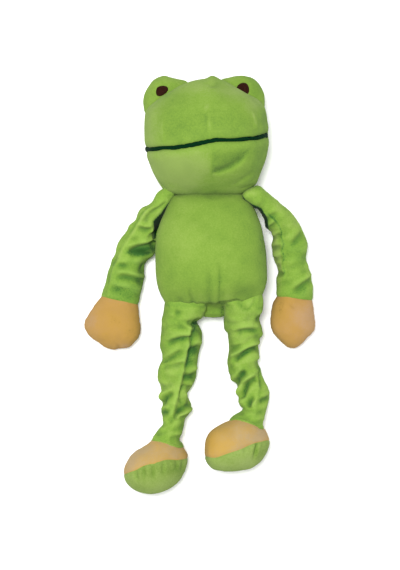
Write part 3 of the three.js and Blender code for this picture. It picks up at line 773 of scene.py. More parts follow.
# pile lie on the head with painted light and shade: paler towards the lit left edge, the crown and the lower left of
# the chin, a painted highlight at the tip of the chin dart, darker in the middle of the face, on the right side and
# under the lip
HEAD_NAP_SHADING = [(150, 126, 9, 26, 0.8), (158, 104, 13, 8, 0.5), (196, 85, 26, 8, 0.95), (236, 90, 14, 6, 0.8), (256, 104, 9, 9, 0.9), (190, 122, 30, 22, -0.35), (232, 122, 20, 18, -0.2), (160, 168, 20, 16, 1.2), (184, 168, 22, 16, 1.2), (190, 184, 16, 9, 0.5),
            (256, 164, 8, 16, -0.6), (248, 176, 12, 8, -0.3), (262, 122, 7, 16, -0.5), (234, 178, 10, 5, 0.2), (215, 173.6, 1.6, 1.4, 1.4), (254, 110, 6, 12, 0.3)]
UV = grid_of(head.P)
nap = nap_shading_at(UV, head.P, HEAD_NAP_SHADING, 201, 0.16)
# the chin: painted shade in the dart from the seam to the fold under the lip, and painted light on the panel on the
# other side of the seam
q_, t_, s_, _ = to_line(UV, bend_line(CHIN_FOLD, 8))
within = smooth(-1.6, 2.6, UV[..., 0] - 210.8) * smooth(-1.5, 3.0, q_ * s_) * smooth(141, 156, UV[..., 1]) * smooth(30, 55, head.P[..., 2])
nap = nap - 1.25 * within * np.exp(-q_ / 17)
nap = nap + 0.4 * smooth(1.6, -1.6, UV[..., 0] - 210.6) * smooth(186, 206, UV[..., 0]) * smooth(146, 154, UV[..., 1]) * smooth(180, 172, UV[..., 1])
# painted highlight along the raised forehead seam and the two raised side lines, painted shade just beside the forehead
# seam
front = smooth(30, 55, head.P[..., 2])
nap = nap + front * (pile_shading_line(UV, [[206.6, 100], [207.6, 112], [209.6, 124], [211.4, 136]], 1.0, 0.9) + pile_shading_line(UV, [[204.6, 100], [205.6, 112], [207.4, 124], [209, 134]], 1.0, -0.45))
nap = nap + front * (pile_shading_line(UV, [[252, 110], [255, 118], [257.4, 127]], 1.0, 1.1) + pile_shading_line(UV, [[163.4, 116], [162.2, 128], [163.6, 142]], 1.3, 0.5))
nap = np.clip(nap, -1.5, 1.3).reshape(-1)
V, F, fold = grid_mesh(head)
N = vertex_normals(V, F)
c = V[F].mean(1)
cuv = grid_of(c)
mouth_v = np.interp(cuv[:, 0], [p[0] for p in MOUTH], [p[1] for p in MOUTH])
frontal = c[:, 2] > 30
above = cuv[:, 1] < mouth_v
NECK_A, NECK_B = G(208, 208, 36) / 1000, G(208, 197.5, 36) / 1000
NOD_A, NOD_B = G(208, 194.5, 36) / 1000, G(208, 172, 36) / 1000


def neck_to_head(ob):
    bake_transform(ob)


for name, sel, node in (
    ("crown_right", frontal & above & (cuv[:, 0] < 209), "head_top_right_panel"),
    ("crown_left", frontal & above & (cuv[:, 0] >= 209), "head_top_left_panel"),
    ("chin_right", frontal & ~above & (cuv[:, 0] < 211), "chin_right_panel"),
    ("chin_left", frontal & ~above & (cuv[:, 0] >= 211), "chin_left_panel"),
    ("head_back", ~frontal, "head_back_panel"),
):
    ob = emit(name + "_cover", V, F, "head", N, fold, sel, nap)
    neck_to_head(ob)
    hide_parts(node)
stuffing("head_stuffing", head, neck_to_head, "head_filling", every=(4, 4))
head_tree = BVHTree.FromPolygons([Vector(p) for p in V.tolist()], F.tolist())


def drop(tree, u, v, z_from=200.0):
    """The point of a surface under a layout point, seen from the camera, and its normal."""
    eye = Vector((SX, SY, H))
    a = Vector(G(u, v, z_from).tolist())
    hit = tree.ray_cast(a, (a - eye).normalized())
    return (None, None) if hit[0] is None else (np.array(hit[0]), np.array(hit[1]))


def tube_along(points, normals, half_w, half_h, n=10):
    """A cord on a surface: points with surface normals, half width and height at each."""
    P, Nn = np.asarray(points), np.asarray(normals)
    T = np.gradient(P, axis=0)
    T /= np.linalg.norm(T, axis=1, keepdims=True)
    S = np.cross(T, Nn)
    S /= np.linalg.norm(S, axis=1, keepdims=True)
    U = np.cross(S, T)
    phi = np.linspace(0, 2 * np.pi, n, endpoint=False)
    return Skin([P[i] + np.outer(np.cos(phi) * half_w[i], S[i]) + np.outer(np.sin(phi) * half_h[i], U[i]) for i in range(len(P))])


# mouth: a satin-stitched cord in the seam, thicker at its ends
line = bend_line([p for p in MOUTH if 146.4 <= p[0] <= 267.5], 10)
lens = np.concatenate([[0], np.cumsum(np.hypot(*np.diff(line, axis=0).T))])
q = np.linspace(0, lens[-1], 700)
line = np.stack([np.interp(q, lens, line[:, 0]), np.interp(q, lens, line[:, 1])], -1)
pts, nrm = [], []
for u, v in line:
    p, m = drop(head_tree, min(max(u, 147.8), 267.0), v)
    if p is not None:
        pts.append(p)
        nrm.append(m)
pts, nrm = np.array(pts), np.array(nrm)
for _ in range(30):
    nrm[1:-1] = (nrm[2:] + nrm[:-2] + nrm[1:-1]) / 3
    pts[1:-1] = (pts[2:] + pts[:-2] + pts[1:-1]) / 3
nrm /= np.linalg.norm(nrm, axis=1, keepdims=True)
run = np.concatenate([[0], np.cumsum(np.linalg.norm(np.diff(pts, axis=0), axis=1))])
t = run / run[-1]
thick = 1.0 + 0.38 * np.exp(-((t / 0.03) ** 2)) + 0.32 * np.exp(-(((1 - t) / 0.035) ** 2)) + 0.16 * np.exp(-(((t - 0.15) / 0.03) ** 2)) + 0.1 * np.sin(t * 31) * np.sin(t * 17)
stitch = 0.07 * np.sin(2 * np.pi * run / 0.62)
cap_ = np.sqrt(np.clip(1 - np.clip(1 - np.minimum(run, run[-1] - run) / 1.5, 0, 1) ** 2, 0.03, 1))
mouth = tube_along(pts + nrm * 0.75, nrm, (1.85 * thick + stitch) * cap_, (1.25 * thick + stitch) * cap_, 14)
MV, MF, mf = grid_mesh(mouth)
ob = emit("mouth_stitching", MV, MF, "mouth", None, None)
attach(ob, "head")
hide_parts("mouth_line")


# eye lobes: broad stuffed mounds behind the crown
def mound(cu, cv, z, ru, rv, rz, tilt, n=88, m=50, p=2.3):
    th = np.linspace(0, np.pi, m)
    phi = np.linspace(0, 2 * np.pi, n, endpoint=False)
    c0 = G(cu, cv, z)
    cx, cy = superellipse(phi, p)
    rings = []
    for a in th:
        r = max(math.sin(a), 1e-5) ** (2 / 2.2)
        x, y = cx * r * ru * PX, cy * r * rv * PX
        ct, st = math.cos(tilt), math.sin(tilt)
        rings.append(np.stack([c0[0] + x * ct - y * st, c0[1] + x * st + y * ct, np.full(n, c0[2] + math.copysign(abs(math.cos(a)) ** (2 / 2.2), math.cos(a)) * rz)], -1))
    return Skin(rings)


def warp_to(sk, centre, outline, keep=None):
    """Moves a form's outline in the view onto an outline of the layout, spreading the change inwards."""
    UV = grid_of(sk.P)
    cc = np.asarray(centre, float)
    ang = np.arctan2(UV[..., 1] - cc[1], UV[..., 0] - cc[0])
    rad = np.hypot(UV[..., 0] - cc[0], UV[..., 1] - cc[1])
    bins = np.linspace(-np.pi, np.pi, 121)
    own = np.array([rad[np.abs(np.angle(np.exp(1j * (ang - b)))) < 0.05].max() for b in bins])
    ol = closed_line(outline, 500)
    oa, orad = np.arctan2(ol[:, 1] - cc[1], ol[:, 0] - cc[0]), np.hypot(ol[:, 0] - cc[0], ol[:, 1] - cc[1])
    want = np.array([orad[np.abs(np.angle(np.exp(1j * (oa - b)))) < 0.05].mean() for b in bins])
    ratio = want / own
    for _ in range(2):
        ratio[1:-1] = (ratio[2:] + ratio[:-2] + 2 * ratio[1:-1]) / 4
    ratio = np.interp(ang, bins, ratio)
    c3 = G(cc[0], cc[1], 30.0)[:2]
    sk.P[..., :2] = c3 + (sk.P[..., :2] - c3) * ratio[..., None]


LOBES = {
    "right": dict(c=(167.5, 98.5), r=(24.2, 22.5), tilt=0.05, eye=(162.3, 90.7), seed=1,
                  outline=[[187, 81.5], [180, 79], [172, 76.6], [164, 75.6], [157, 78], [152, 82], [148, 88], [145, 94], [143.6, 100], [144.2, 107], [146, 114], [155, 119], [170, 120], [185, 116], [192, 104], [192, 90]],
                  iris=[[156.2, 92.4], [156.9, 88.2], [159.6, 86], [163.8, 85.3], [167.4, 86.3], [168.8, 89], [167.4, 92], [164, 94.8], [160.2, 96.2], [157.4, 95.4]]),
    "left": dict(c=(242.5, 97.5), r=(23, 22.3), tilt=-0.08, eye=(243.6, 88.2), seed=2,
                 outline=[[221, 79.5], [228, 77.6], [236, 75.6], [243, 75], [250, 76], [256, 79.5], [261, 86], [264.2, 93], [265.3, 100], [264.8, 106], [262, 113], [252, 119], [238, 120], [225, 116], [217, 105], [217, 90]],
                 iris=[[237.0, 87.0], [239.4, 83.8], [243.6, 82.3], [247.4, 83.4], [249.4, 87], [249.6, 91.4], [247.6, 94.4], [243.4, 95], [239.2, 93.4], [237.2, 90.4]]),
}
def closed_line(pts, n):
    p = np.asarray(pts, float)
    m = len(p)
    out = []
    for i in range(m):
        a, b, c_, d_ = p[i - 1], p[i], p[(i + 1) % m], p[(i + 2) % m]
        for t in np.linspace(0, 1, 12, endpoint=False):
            out.append(0.5 * ((2 * b) + (-a + c_) * t + (2 * a - 5 * b + 4 * c_ - d_) * t * t + (-a + 3 * b - 3 * c_ + d_) * t**3))
    out = np.array(out + [out[0]])
    w = np.concatenate([[0], np.cumsum(np.hypot(*np.diff(out, axis=0).T))])
    q = np.linspace(0, w[-1], n, endpoint=False)
    return np.stack([np.interp(q, w, out[:, 0]), np.interp(q, w, out[:, 1])], -1)


for side in ("right", "left"):
    L = LOBES[side]
    lobe = mound(L["c"][0], L["c"][1], 34, L["r"][0], L["r"][1], 17, L["tilt"])
    warp_to(lobe, L["c"], L["outline"])
    lobe_base = lobe.P.copy()
    lobe.push(0.45 * noise(lobe.P, 14, 20 + L["seed"]) + 0.2 * noise(lobe.P, 6, 22 + L["seed"]), False)
    rim = np.exp(-((lobe.P[..., 2] - 32) / 1.3) ** 2)
    lobe.push(-0.8 * rim)
    puff(lobe, rim > 0.5, along=1.04, across=1.04, pressure=2.0, frames=12, bend=0.8, cap=1.0)
    lobe.fold = hollow(lobe, lobe_base)
    LV, LF, lf = grid_mesh(lobe)
    # pile lie on the lobes with painted light and shade: paler towards the left and the top, darker on the right side
    # of the left lobe
    blobs = [(150, 96, 7, 16, 0.4), (172, 80, 14, 5, 0.4)] if side == "right" else [(258, 92, 8, 14, -0.7), (235, 79, 12, 4, 0.5), (255, 82, 10, 6, -0.2)]
    ob = emit(side + "_eye_lobe_cover", LV, LF, "green", vertex_normals(LV, LF), lf, None, nap_shading_at(grid_of(lobe.P), lobe.P, blobs, 211).reshape(-1))
    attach(ob, "head")
    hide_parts(side + "_eye_lobe")
    stuffing(side + "_eye_lobe_stuffing", lobe, lambda o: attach(o, "head"), side + "_eye_lobe_filling", every=(2, 4))
    lobe_tree = BVHTree.FromPolygons([Vector(p_) for p_ in LV.tolist()], LF.tolist())
    # eye: domed satin-stitched disc laid on the lobe
    iris = closed_line(L["iris"], 84)
    e0 = np.array(L["eye"])
    rings = []
    for rr in np.linspace(0, 1, 24):
        ring = []
        for a in range(len(iris)):
            uu, vv = e0 + rr * (iris[a] - e0)
            p_, m_ = drop(lobe_tree, uu, vv)
            if p_ is None:
                p_, m_ = np.array(G(uu, vv, 44)), np.array([0, 0, 1.0])
            lift = 1.3 * math.sqrt(max(1 - rr**2.6, 0)) + 0.09 * math.sin(2 * np.pi * (p_[0] * 0.8 + p_[1] * 0.6) / 0.7) * (1 - rr**6) - 0.35 * rr**8
            ring.append(p_ + m_ * lift)
        rings.append(ring)
    eye = np.array(rings)
    under = eye[::-1].copy()
    under[..., 2] -= 1.6
    both = Skin(np.concatenate([eye, under[1:]], 0))
    EV, EF, ef = grid_mesh(both)
    ob = emit(side + "_eye_stitching", EV, EF, "eye", None, None)
    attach(ob, "head")
    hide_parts(side + "_eye")

# ------------------------------------------------------------------ body
BODY = [
    [192.6, 206, 210, 37, 36, 35], [192.8, 192, 225, 43, 36, 29], [193.4, 179, 237.5, 48.5, 36, 24], [195, 171.5, 244.5, 53.5, 36, 19], [198, 169.6, 247, 57.5, 36, 14], [203, 167.4, 251.6, 61.2, 36, 8],
    [212, 165, 256.2, 65.5, 36, 2], [220, 161.8, 259.4, 68.6, 36, 0], [228, 159.4, 262.2, 71, 36, -1], [240, 157.2, 265, 73, 36, -2], [255, 155.6, 267.3, 74, 36, -2], [268, 156.2, 268.0, 73.4, 36, -2],
    [278, 157, 268, 71.4, 36, -2], [286, 158.4, 266.6, 68.2, 36, -2], [293, 160.8, 264.2, 63.4, 36, -1], [298, 163.4, 262, 58.4, 35.5, 0], [301.5, 165.6, 260.5, 54.2, 35, 2],
    [303.6, 170, 257.6, 46.4, 32, 3], [305, 174, 254.5, 38, 30, 4.5], [307.3, 180, 250, 33.2, 28.4, 6.5], [310.5, 187, 244, 30.4, 27, 10], [313.6, 194, 236, 29.8, 26.5, 15], [316.2, 200, 228, 27.4, 25, 19.5], [317.4, 206, 221, 26, 24.6, 22.5], [317.8, 211, 215, 25.2, 24.6, 24],
]
body = upright(BODY, 2.2, 168, 1.3)
body_base = body.P.copy()
UV = grid_of(body.P)
nz = body.normals()[..., 2]
HIP_LINE = [[156, 304.6], [166, 303.9], [180, 304.0], [195, 303.8], [208, 303.6], [217, 303.4], [225, 301.6], [234, 301.0], [240.5, 301.2], [242, 305], [245, 309], [248.5, 309.4], [252, 306], [255.5, 300.6], [259, 297.8], [270, 296]]
PLEATS = [([[188.4, 284], [190, 292], [194, 304]], 0.95, 1.7), ([[208.5, 262], [209.6, 280], [210, 303.5]], 1.0, 2.2), ([[219.6, 250], [219.4, 275], [219.8, 303.5]], 1.35, 1.5), ([[224.5, 286], [223.4, 295], [223.5, 303.5]], 0.9, 1.5), ([[178, 296], [180, 300], [181, 304]], 0.5, 2.4),
          ([[234, 288], [235, 295], [236, 301]], 0.5, 2.6), ([[170.5, 294], [171, 299], [172, 304]], 0.35, 2.0), ([[201, 292], [201.5, 298], [202, 304]], 0.3, 2.0)]
d = 0.8 * noise(body.P, 38, 11) + 0.4 * noise(body.P, 16, 12)
for pts_, dep, wid in PLEATS:
    d += crease(UV, nz, pts_, dep, wid, 0.4, (0.5, 0.0))
dent, _, _, _ = to_line(UV, [[241, 294], [250, 295]])
d += -1.5 * np.exp(-((dent * PX / 8.5) ** 2)) * smooth(0.0, 0.4, nz)
dent, _, _, _ = to_line(UV, [[178, 300], [187, 300]])
d += -0.5 * np.exp(-((dent * PX / 5) ** 2)) * smooth(0.0, 0.4, nz)
d += ridge_step(UV, nz, HIP_LINE, 0.5, 1.0, 3.0, 4.0, -1, (0.0, 0.0), (-0.1, 0.2))
nrm_ = body.normals()
d += -0.9 * np.exp(-((body.P[..., 2] - 34) / 1.4) ** 2) * smooth(0.5, 0.9, np.abs(nrm_[..., 0]))
body.push(d)
q_, _, _, _ = to_line(UV, bend_line(HIP_LINE, 3))
pin = (q_ * PX < 1.6) & (nz > -0.1)
for pts_, dep, wid in PLEATS:
    q_, _, _, _ = to_line(UV, bend_line(pts_, 3))
    pin |= (q_ * PX < 0.9) & (nz > 0) & (dep > 0.8)
pin |= np.abs(body.P[..., 2] - 34) < 0.7
puff(body, pin, along=1.03, across=1.045, pressure=2.0, frames=14, bend=0.8, cap=1.6)
body.relax(1, 0.4)
body.rest_on()
body.fold = hollow(body, body_base)
# pile lie on the body with painted light and shade: lighter upper left, painted shade down the right side, in the dent
# at lower right, along the pleats and on the base panel between the legs
BODY_NAP_SHADING = [(182, 225, 26, 26, 0.45), (205, 250, 30, 20, 0.15), (160, 272, 7, 30, 0.35), (263, 255, 7, 45, -0.9), (250, 240, 10, 30, -0.3), (245, 292, 11, 10, -1.1), (211, 292, 9, 13, -0.5), (221, 285, 3, 16, -0.4), (182, 300, 9, 4, -0.6), (193, 302, 3.5, 4, -0.7),
            (213, 311, 15, 8, -0.8), (223, 310, 4, 7, -1.0), (158, 245, 4, 30, -0.3), (200, 204, 24, 8, 0.2)]
UVb = grid_of(body.P)
# painted shade along the body's right edge
nap = nap_shading_at(UVb, body.P, BODY_NAP_SHADING, 221) + pile_shading_line(UVb, [[256.4, 205], [261.4, 219], [265.2, 236], [267.6, 255], [268.6, 268], [268.6, 280], [266, 290], [263, 297]], 1.5, -1.3, (0.05, 0.05))
# painted shade in the pleat valleys, painted highlight on the folds between them
for pts_, wid, amount in (([[219.8, 254], [219.6, 276], [220, 304]], 0.9, -0.8), ([[209.4, 266], [210, 282], [210.6, 304]], 2.8, -0.3), ([[188.2, 284], [190, 293], [193.6, 304]], 1.3, -0.4),
                          ([[224, 284], [223.6, 295], [223.4, 304]], 0.9, -0.3), ([[215.4, 270], [215.2, 288], [215, 303]], 2.0, 0.4), ([[227.6, 282], [228, 292], [228.6, 302]], 1.8, 0.35), ([[200, 288], [201, 295], [202, 302]], 2.6, 0.45), ([[180.6, 294], [182, 299], [184, 303]], 1.0, -0.5)):
    nap = nap + pile_shading_line(UVb, pts_, wid, amount, (0.6, 0.03))
# the painted shade is weakened on faces turned down, and kept lighter than its darkest on the sides and underside
up_ = body.normals()[..., 2]
nap = np.where(nap < 0, nap * (0.25 + 0.75 * smooth(-0.2, 0.15, up_)), nap)
nap = np.maximum(nap, -1.45 + 0.75 * smooth(0.35, 0.0, up_)).reshape(-1)
V, F, fold = grid_mesh(body)
N = vertex_normals(V, F)
c = V[F].mean(1)
cuv = grid_of(c)
base = cuv[:, 1] > 304


def body_to_neck(ob):
    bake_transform(ob)


for name, sel, node in (("body_front", (c[:, 2] > 34) & ~base, "torso_front_panel"), ("body_back", (c[:, 2] <= 34) & ~base, "torso_back_panel"), ("body_base", base, "torso_base_panel")):
    ob = emit(name + "_cover", V, F, "green", N, fold, sel, nap)
    body_to_neck(ob)
    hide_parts(node)
stuffing("body_stuffing", body, body_to_neck, "torso_filling", every=(4, 4))


# ------------------------------------------------------------------ limbs
def loft(rows, power, n, step, hem=0.0, start_cap=4.0, end_cap=0.0, boxy=0.0):
    """Rings between two edges of the layout. rows: [u, v one edge, u, v other edge, z, half thickness above, below (mm)]."""
    rows = np.asarray(rows, float)
    A, B = G(rows[:, 0], rows[:, 1], rows[:, 4]), G(rows[:, 2], rows[:, 3], rows[:, 4])
    C = (A + B) / 2
    way = np.concatenate([[0], np.cumsum(np.linalg.norm(np.diff(C, axis=0), axis=1))])
    fine = np.linspace(0, way[-1], 500)
    Af = np.stack([pchip(way, A[:, k], fine) for k in range(3)], -1)
    Bf = np.stack([pchip(way, B[:, k], fine) for k in range(3)], -1)
    tf = pchip(way, rows[:, 5:7], fine)
    # smooth the thickness more than the edges
    for arr in (tf,):
        for _ in range(40):
            arr[1:-1] = (arr[2:] + arr[:-2] + 2 * arr[1:-1]) / 4
    for _ in range(3):
        Af[1:-1] = (Af[2:] + Af[:-2] + 2 * Af[1:-1]) / 4
        Bf[1:-1] = (Bf[2:] + Bf[:-2] + 2 * Bf[1:-1]) / 4
    Cf = (Af + Bf) / 2
    arc = np.concatenate([[0], np.cumsum(np.linalg.norm(np.diff(Cf, axis=0), axis=1))])
    L = arc[-1]
    cap0 = [start_cap * (1 - math.cos(a)) for a in np.linspace(0.003, math.pi / 2, 8)] if start_cap else [0.0]
    cap1 = [L - end_cap * (1 - math.cos(a)) for a in np.linspace(math.pi / 2, 0.003, 8)] if end_cap else [L]
    S = np.concatenate([cap0[:-1], np.linspace(cap0[-1], cap1[0], max(int((cap1[0] - cap0[-1]) / step), 4) + 1), cap1[1:]])
    phi = np.linspace(0, 2 * np.pi, n, endpoint=False)
    rings = []
    for s in S:
        cx, sx = superellipse(phi, power + boxy * (1 - smooth(14, 34, s)))
        a = np.array([np.interp(s, arc, Af[:, k]) for k in range(3)])
        b = np.array([np.interp(s, arc, Bf[:, k]) for k in range(3)])
        tu, td = (np.interp(s, arc, tf[:, k]) for k in range(2))
        f = 1.0
        if start_cap and s < start_cap:
            f = math.sqrt(max(1 - (1 - s / start_cap) ** 2, 1e-9))
        if end_cap and s > L - end_cap:
            f = math.sqrt(max(1 - (1 - (L - s) / end_cap) ** 2, 1e-9))
        tight = 1 - hem * smooth(1.6, 0, L - s) / 16
        mid, half = (a + b) / 2, (b - a) / 2
        rings.append(mid + np.outer(cx * f * tight, half) + np.outer(np.where(sx > 0, tu, td) * sx * f * tight, [0, 0, 1.0]))
    sk = Skin(rings, (bool(start_cap), bool(end_cap)))
    sk.S, sk.phi, sk.L = S, phi, L
    sk.line = lambda s: np.array([np.interp(s, arc, Cf[:, k]) for k in range(3)])
    return sk


def ruche(sk, seed, amount, spacing, top=0.35):
    """Crumples round the sleeve that the view from the front doesn't settle: rolls across it, irregular, in mm."""
    s = sk.S[:, None] + 0 * sk.phi[None]
    ph = sk.phi[None] + 0 * s
    warp = 3.4 * noise(np.stack([s, np.cos(ph) * 16, np.sin(ph) * 16], -1), 17, seed) + 2.0 * np.sin(ph * 2 + seed)
    roll = 1.15 * np.abs(np.sin(np.pi * (s + warp) / spacing)) - 0.75
    strength = 0.6 + 0.5 * noise(np.stack([s, np.cos(ph) * 20, np.sin(ph) * 20], -1), 22, seed + 3)
    nz = sk.normals()[..., 2]
    face = smooth(-0.15, -0.7, nz) * (1 - top) + top * smooth(0.0, 0.5, nz)
    return amount * roll * np.clip(strength, 0.1, 1.2) * face * smooth(2, 9, s) * smooth(2, 9, sk.L - s)


def seam_pucker(UV, nz, P, pts, height, width, pitch, seed, reach=5.0, face=(-0.3, 0.1)):
    """A gathered seam: a raised, scalloped ridge with short puckers square to it."""
    d, t, side, ln = to_line(UV, bend_line(pts, 8))
    d = d * PX
    along = t * ln * PX
    w = smooth(face[0], face[1], nz)
    rip = np.sin(2 * np.pi * (along + 1.8 * noise(P, 9, seed)) / pitch)
    ridge = height * np.exp(-((d / width) ** 2)) * (0.7 + 0.4 * rip)
    pk = 0.5 * rip * np.exp(-d / reach) * smooth(0.3, 2.0, d)
    return (ridge + pk) * w * smooth(0, 0.05, t) * smooth(0, 0.05, 1 - t)


ARM = {
    "right": [
        # outer edge, inner edge, z, half thickness above and below
        [166.5, 185.5, 177.5, 193.2, 43, 5.5, 5.5], [163.2, 188.4, 175.6, 195.6, 42, 7, 7], [158, 192.3, 173.8, 197.6, 41, 8.5, 8.5], [154.4, 198.2, 171.4, 202.6, 39.5, 9.5, 9.5], [150.8, 203, 168, 209, 37.5, 10.3, 10.3], [142, 207.4, 164.4, 215, 34, 11.4, 11.4],
        [138, 213, 161.4, 221.5, 30.5, 12.2, 12.2], [136.2, 219, 159.4, 228, 27.5, 12.8, 12.8], [130, 224.2, 158, 236, 24, 13.4, 13.4], [126, 231, 157.2, 243.4, 21, 13.8, 13.8], [120.3, 239, 156.4, 249.4, 18.8, 14, 14],
        [117, 247, 154.2, 254.3, 17, 14, 14], [115.2, 254, 148.4, 259, 15.8, 14, 14.5], [111.2, 260, 145.2, 263.6, 15, 14, 14.5], [109.8, 266, 144.5, 269.6, 14.5, 14, 14.2], [107.4, 271.4, 144.9, 276, 14.2, 14, 14],
        [105.6, 280.5, 143.6, 284, 14, 13.8, 13.8], [103.4, 288.5, 141.2, 291.4, 13.7, 13.4, 13.4], [101.2, 296.8, 139.2, 304.3, 13.4, 13, 13.2]],
    "left": [
        [242.4, 196.6, 243.4, 192, 47, 4, 4], [244.4, 199.4, 246.8, 189.6, 46.4, 7.5, 7.5], [249.4, 202.4, 252, 187, 45.2, 9.3, 9.3], [254.6, 207, 258.6, 184.6, 43, 10.6, 10.6], [259, 208.8, 265.6, 191, 40, 11.4, 11.4], [262.2, 213.4, 273.4, 198, 36, 12.2, 12.2],
        [264.8, 219.4, 282.4, 204.6, 32.3, 12.8, 12.8], [266.2, 227.2, 291, 211.2, 28.4, 13.3, 13.3], [271.4, 232.6, 298.8, 222.4, 24, 13.7, 13.7], [273, 239.6, 304.4, 233.6, 20.6, 14, 14], [271.8, 245, 307.8, 243, 18, 14, 14], [272.8, 252, 306.9, 251, 16.5, 14, 14.5],
        [274.6, 258.4, 306.7, 258, 15.5, 14, 14.5], [277.6, 265.6, 308.2, 265.6, 15, 14, 14.5], [279, 271.6, 311, 273, 14.5, 14, 14.3], [277.3, 278.6, 312.2, 280.2, 14.2, 13.8, 14], [277.3, 287, 313, 289.4, 13.7, 13.4, 13.4], [276.6, 295.6, 313, 300, 13.4, 13, 13.2]],
}
LEG = {
    "right": [
        [166.4, 291, 206.4, 290.5, 36, 11.5, 16], [166.2, 298, 206.6, 297.5, 35.6, 12.4, 18.6], [165.8, 304, 206.6, 303, 34.6, 13.2, 20], [165.4, 310.5, 204.6, 311, 31.6, 14.8, 20.5], [164, 316.5, 202.8, 317, 28.2, 16.6, 19.4], [163, 321, 197.2, 321.4, 26.4, 17, 18.9], [162.2, 325.6, 200, 326, 25.2, 16.8, 18.5], [161.9, 332, 202.4, 332.6, 23, 16.6, 17.8],
        [161, 339.4, 202.8, 339.6, 20.8, 16.3, 17], [160.2, 345.4, 201.8, 347, 19, 16, 16.3], [162, 351.4, 199.8, 354, 17.6, 15.8, 16], [162.8, 357.4, 198.2, 361.2, 16.6, 15.6, 15.8], [160.6, 363.4, 197.2, 368, 16, 15.4, 15.5], [158.4, 369, 197, 375, 15.4, 15.2, 15.2],
        [158.3, 376.4, 194.6, 382, 14.8, 14.8, 14.8], [161, 384.2, 191, 388.8, 14.5, 14.2, 14.4], [162.2, 389.4, 188, 393.8, 14.5, 13.8, 14], [160.6, 394, 189.8, 399, 14.6, 13.6, 14], [161.2, 399.4, 192.4, 405, 15, 13.4, 14], [162.9, 404, 191.2, 411, 15.8, 13, 13.8],
        [160.9, 411.6, 188, 416.2, 17.2, 12.6, 13.2], [163, 417.4, 185, 420.6, 18.6, 12.3, 12.8], [163.9, 423.4, 183.4, 427.6, 20, 12.1, 12.5], [159, 428.2, 181.8, 433.2, 21.6, 12.2, 12.3], [155, 433.2, 179.8, 438.2, 23, 12.4, 12.3], [152.4, 438, 181, 444, 24.2, 12.8, 12.5], [151.4, 441.6, 183.6, 447.4, 25.2, 13, 12.5], [152, 446, 184, 451.5, 26, 12, 12]],
    "left": [
        [225.2, 289, 261.8, 286, 37, 11, 16], [224.8, 296, 262.2, 293.4, 36.6, 12, 18.6], [224.8, 302, 262.5, 300, 35.6, 12.8, 20], [225.6, 308, 262.8, 306, 32.8, 14.4, 20], [224.6, 315, 261.2, 313, 27.8, 17, 18.8], [223.8, 322, 260, 319.6, 25.6, 16.8, 18.5], [224.2, 328.6, 261.6, 326, 23.4, 16.6, 17.8], [228.2, 333.4, 262.2, 331.6, 21.6, 16.3, 17],
        [229.4, 340, 260, 337.4, 19.6, 16, 16.3], [229.8, 347, 258, 343.6, 17.9, 15.6, 15.8], [229.4, 354, 258.9, 350.4, 16.4, 15.2, 15.2], [228, 361.8, 259.2, 356.6, 15.4, 14.8, 14.8], [228.6, 368.8, 258.6, 361.8, 14.8, 14.6, 14.4], [230.6, 375.2, 261.8, 368, 14.4, 14.3, 14], [234.2, 380.8, 262.6, 373, 14.2, 14, 13.8],
        [237.8, 385, 264.8, 378.6, 14, 13.8, 13.6], [238.5, 390, 267.6, 384.6, 14, 13.6, 13.5], [239.6, 396, 270, 391.4, 14.3, 13.4, 13.4], [239.7, 401, 270.5, 398, 15, 13.2, 13.4], [240.6, 405.4, 268.6, 404, 16.2, 12.9, 13.3], [243.4, 407.8, 267.6, 409.6, 17.8, 12.7, 13.1], [241, 411, 265.4, 416, 19.8, 12.6, 12.9], [235.6, 414, 263.8, 421.4, 22, 12.8, 12.8], [231.6, 417.2, 263.2, 425, 23.6, 13, 12.8],
        [229.6, 420.8, 264, 428, 25, 13, 12.5], [229.6, 425, 263.6, 432, 26, 12, 12]],
}
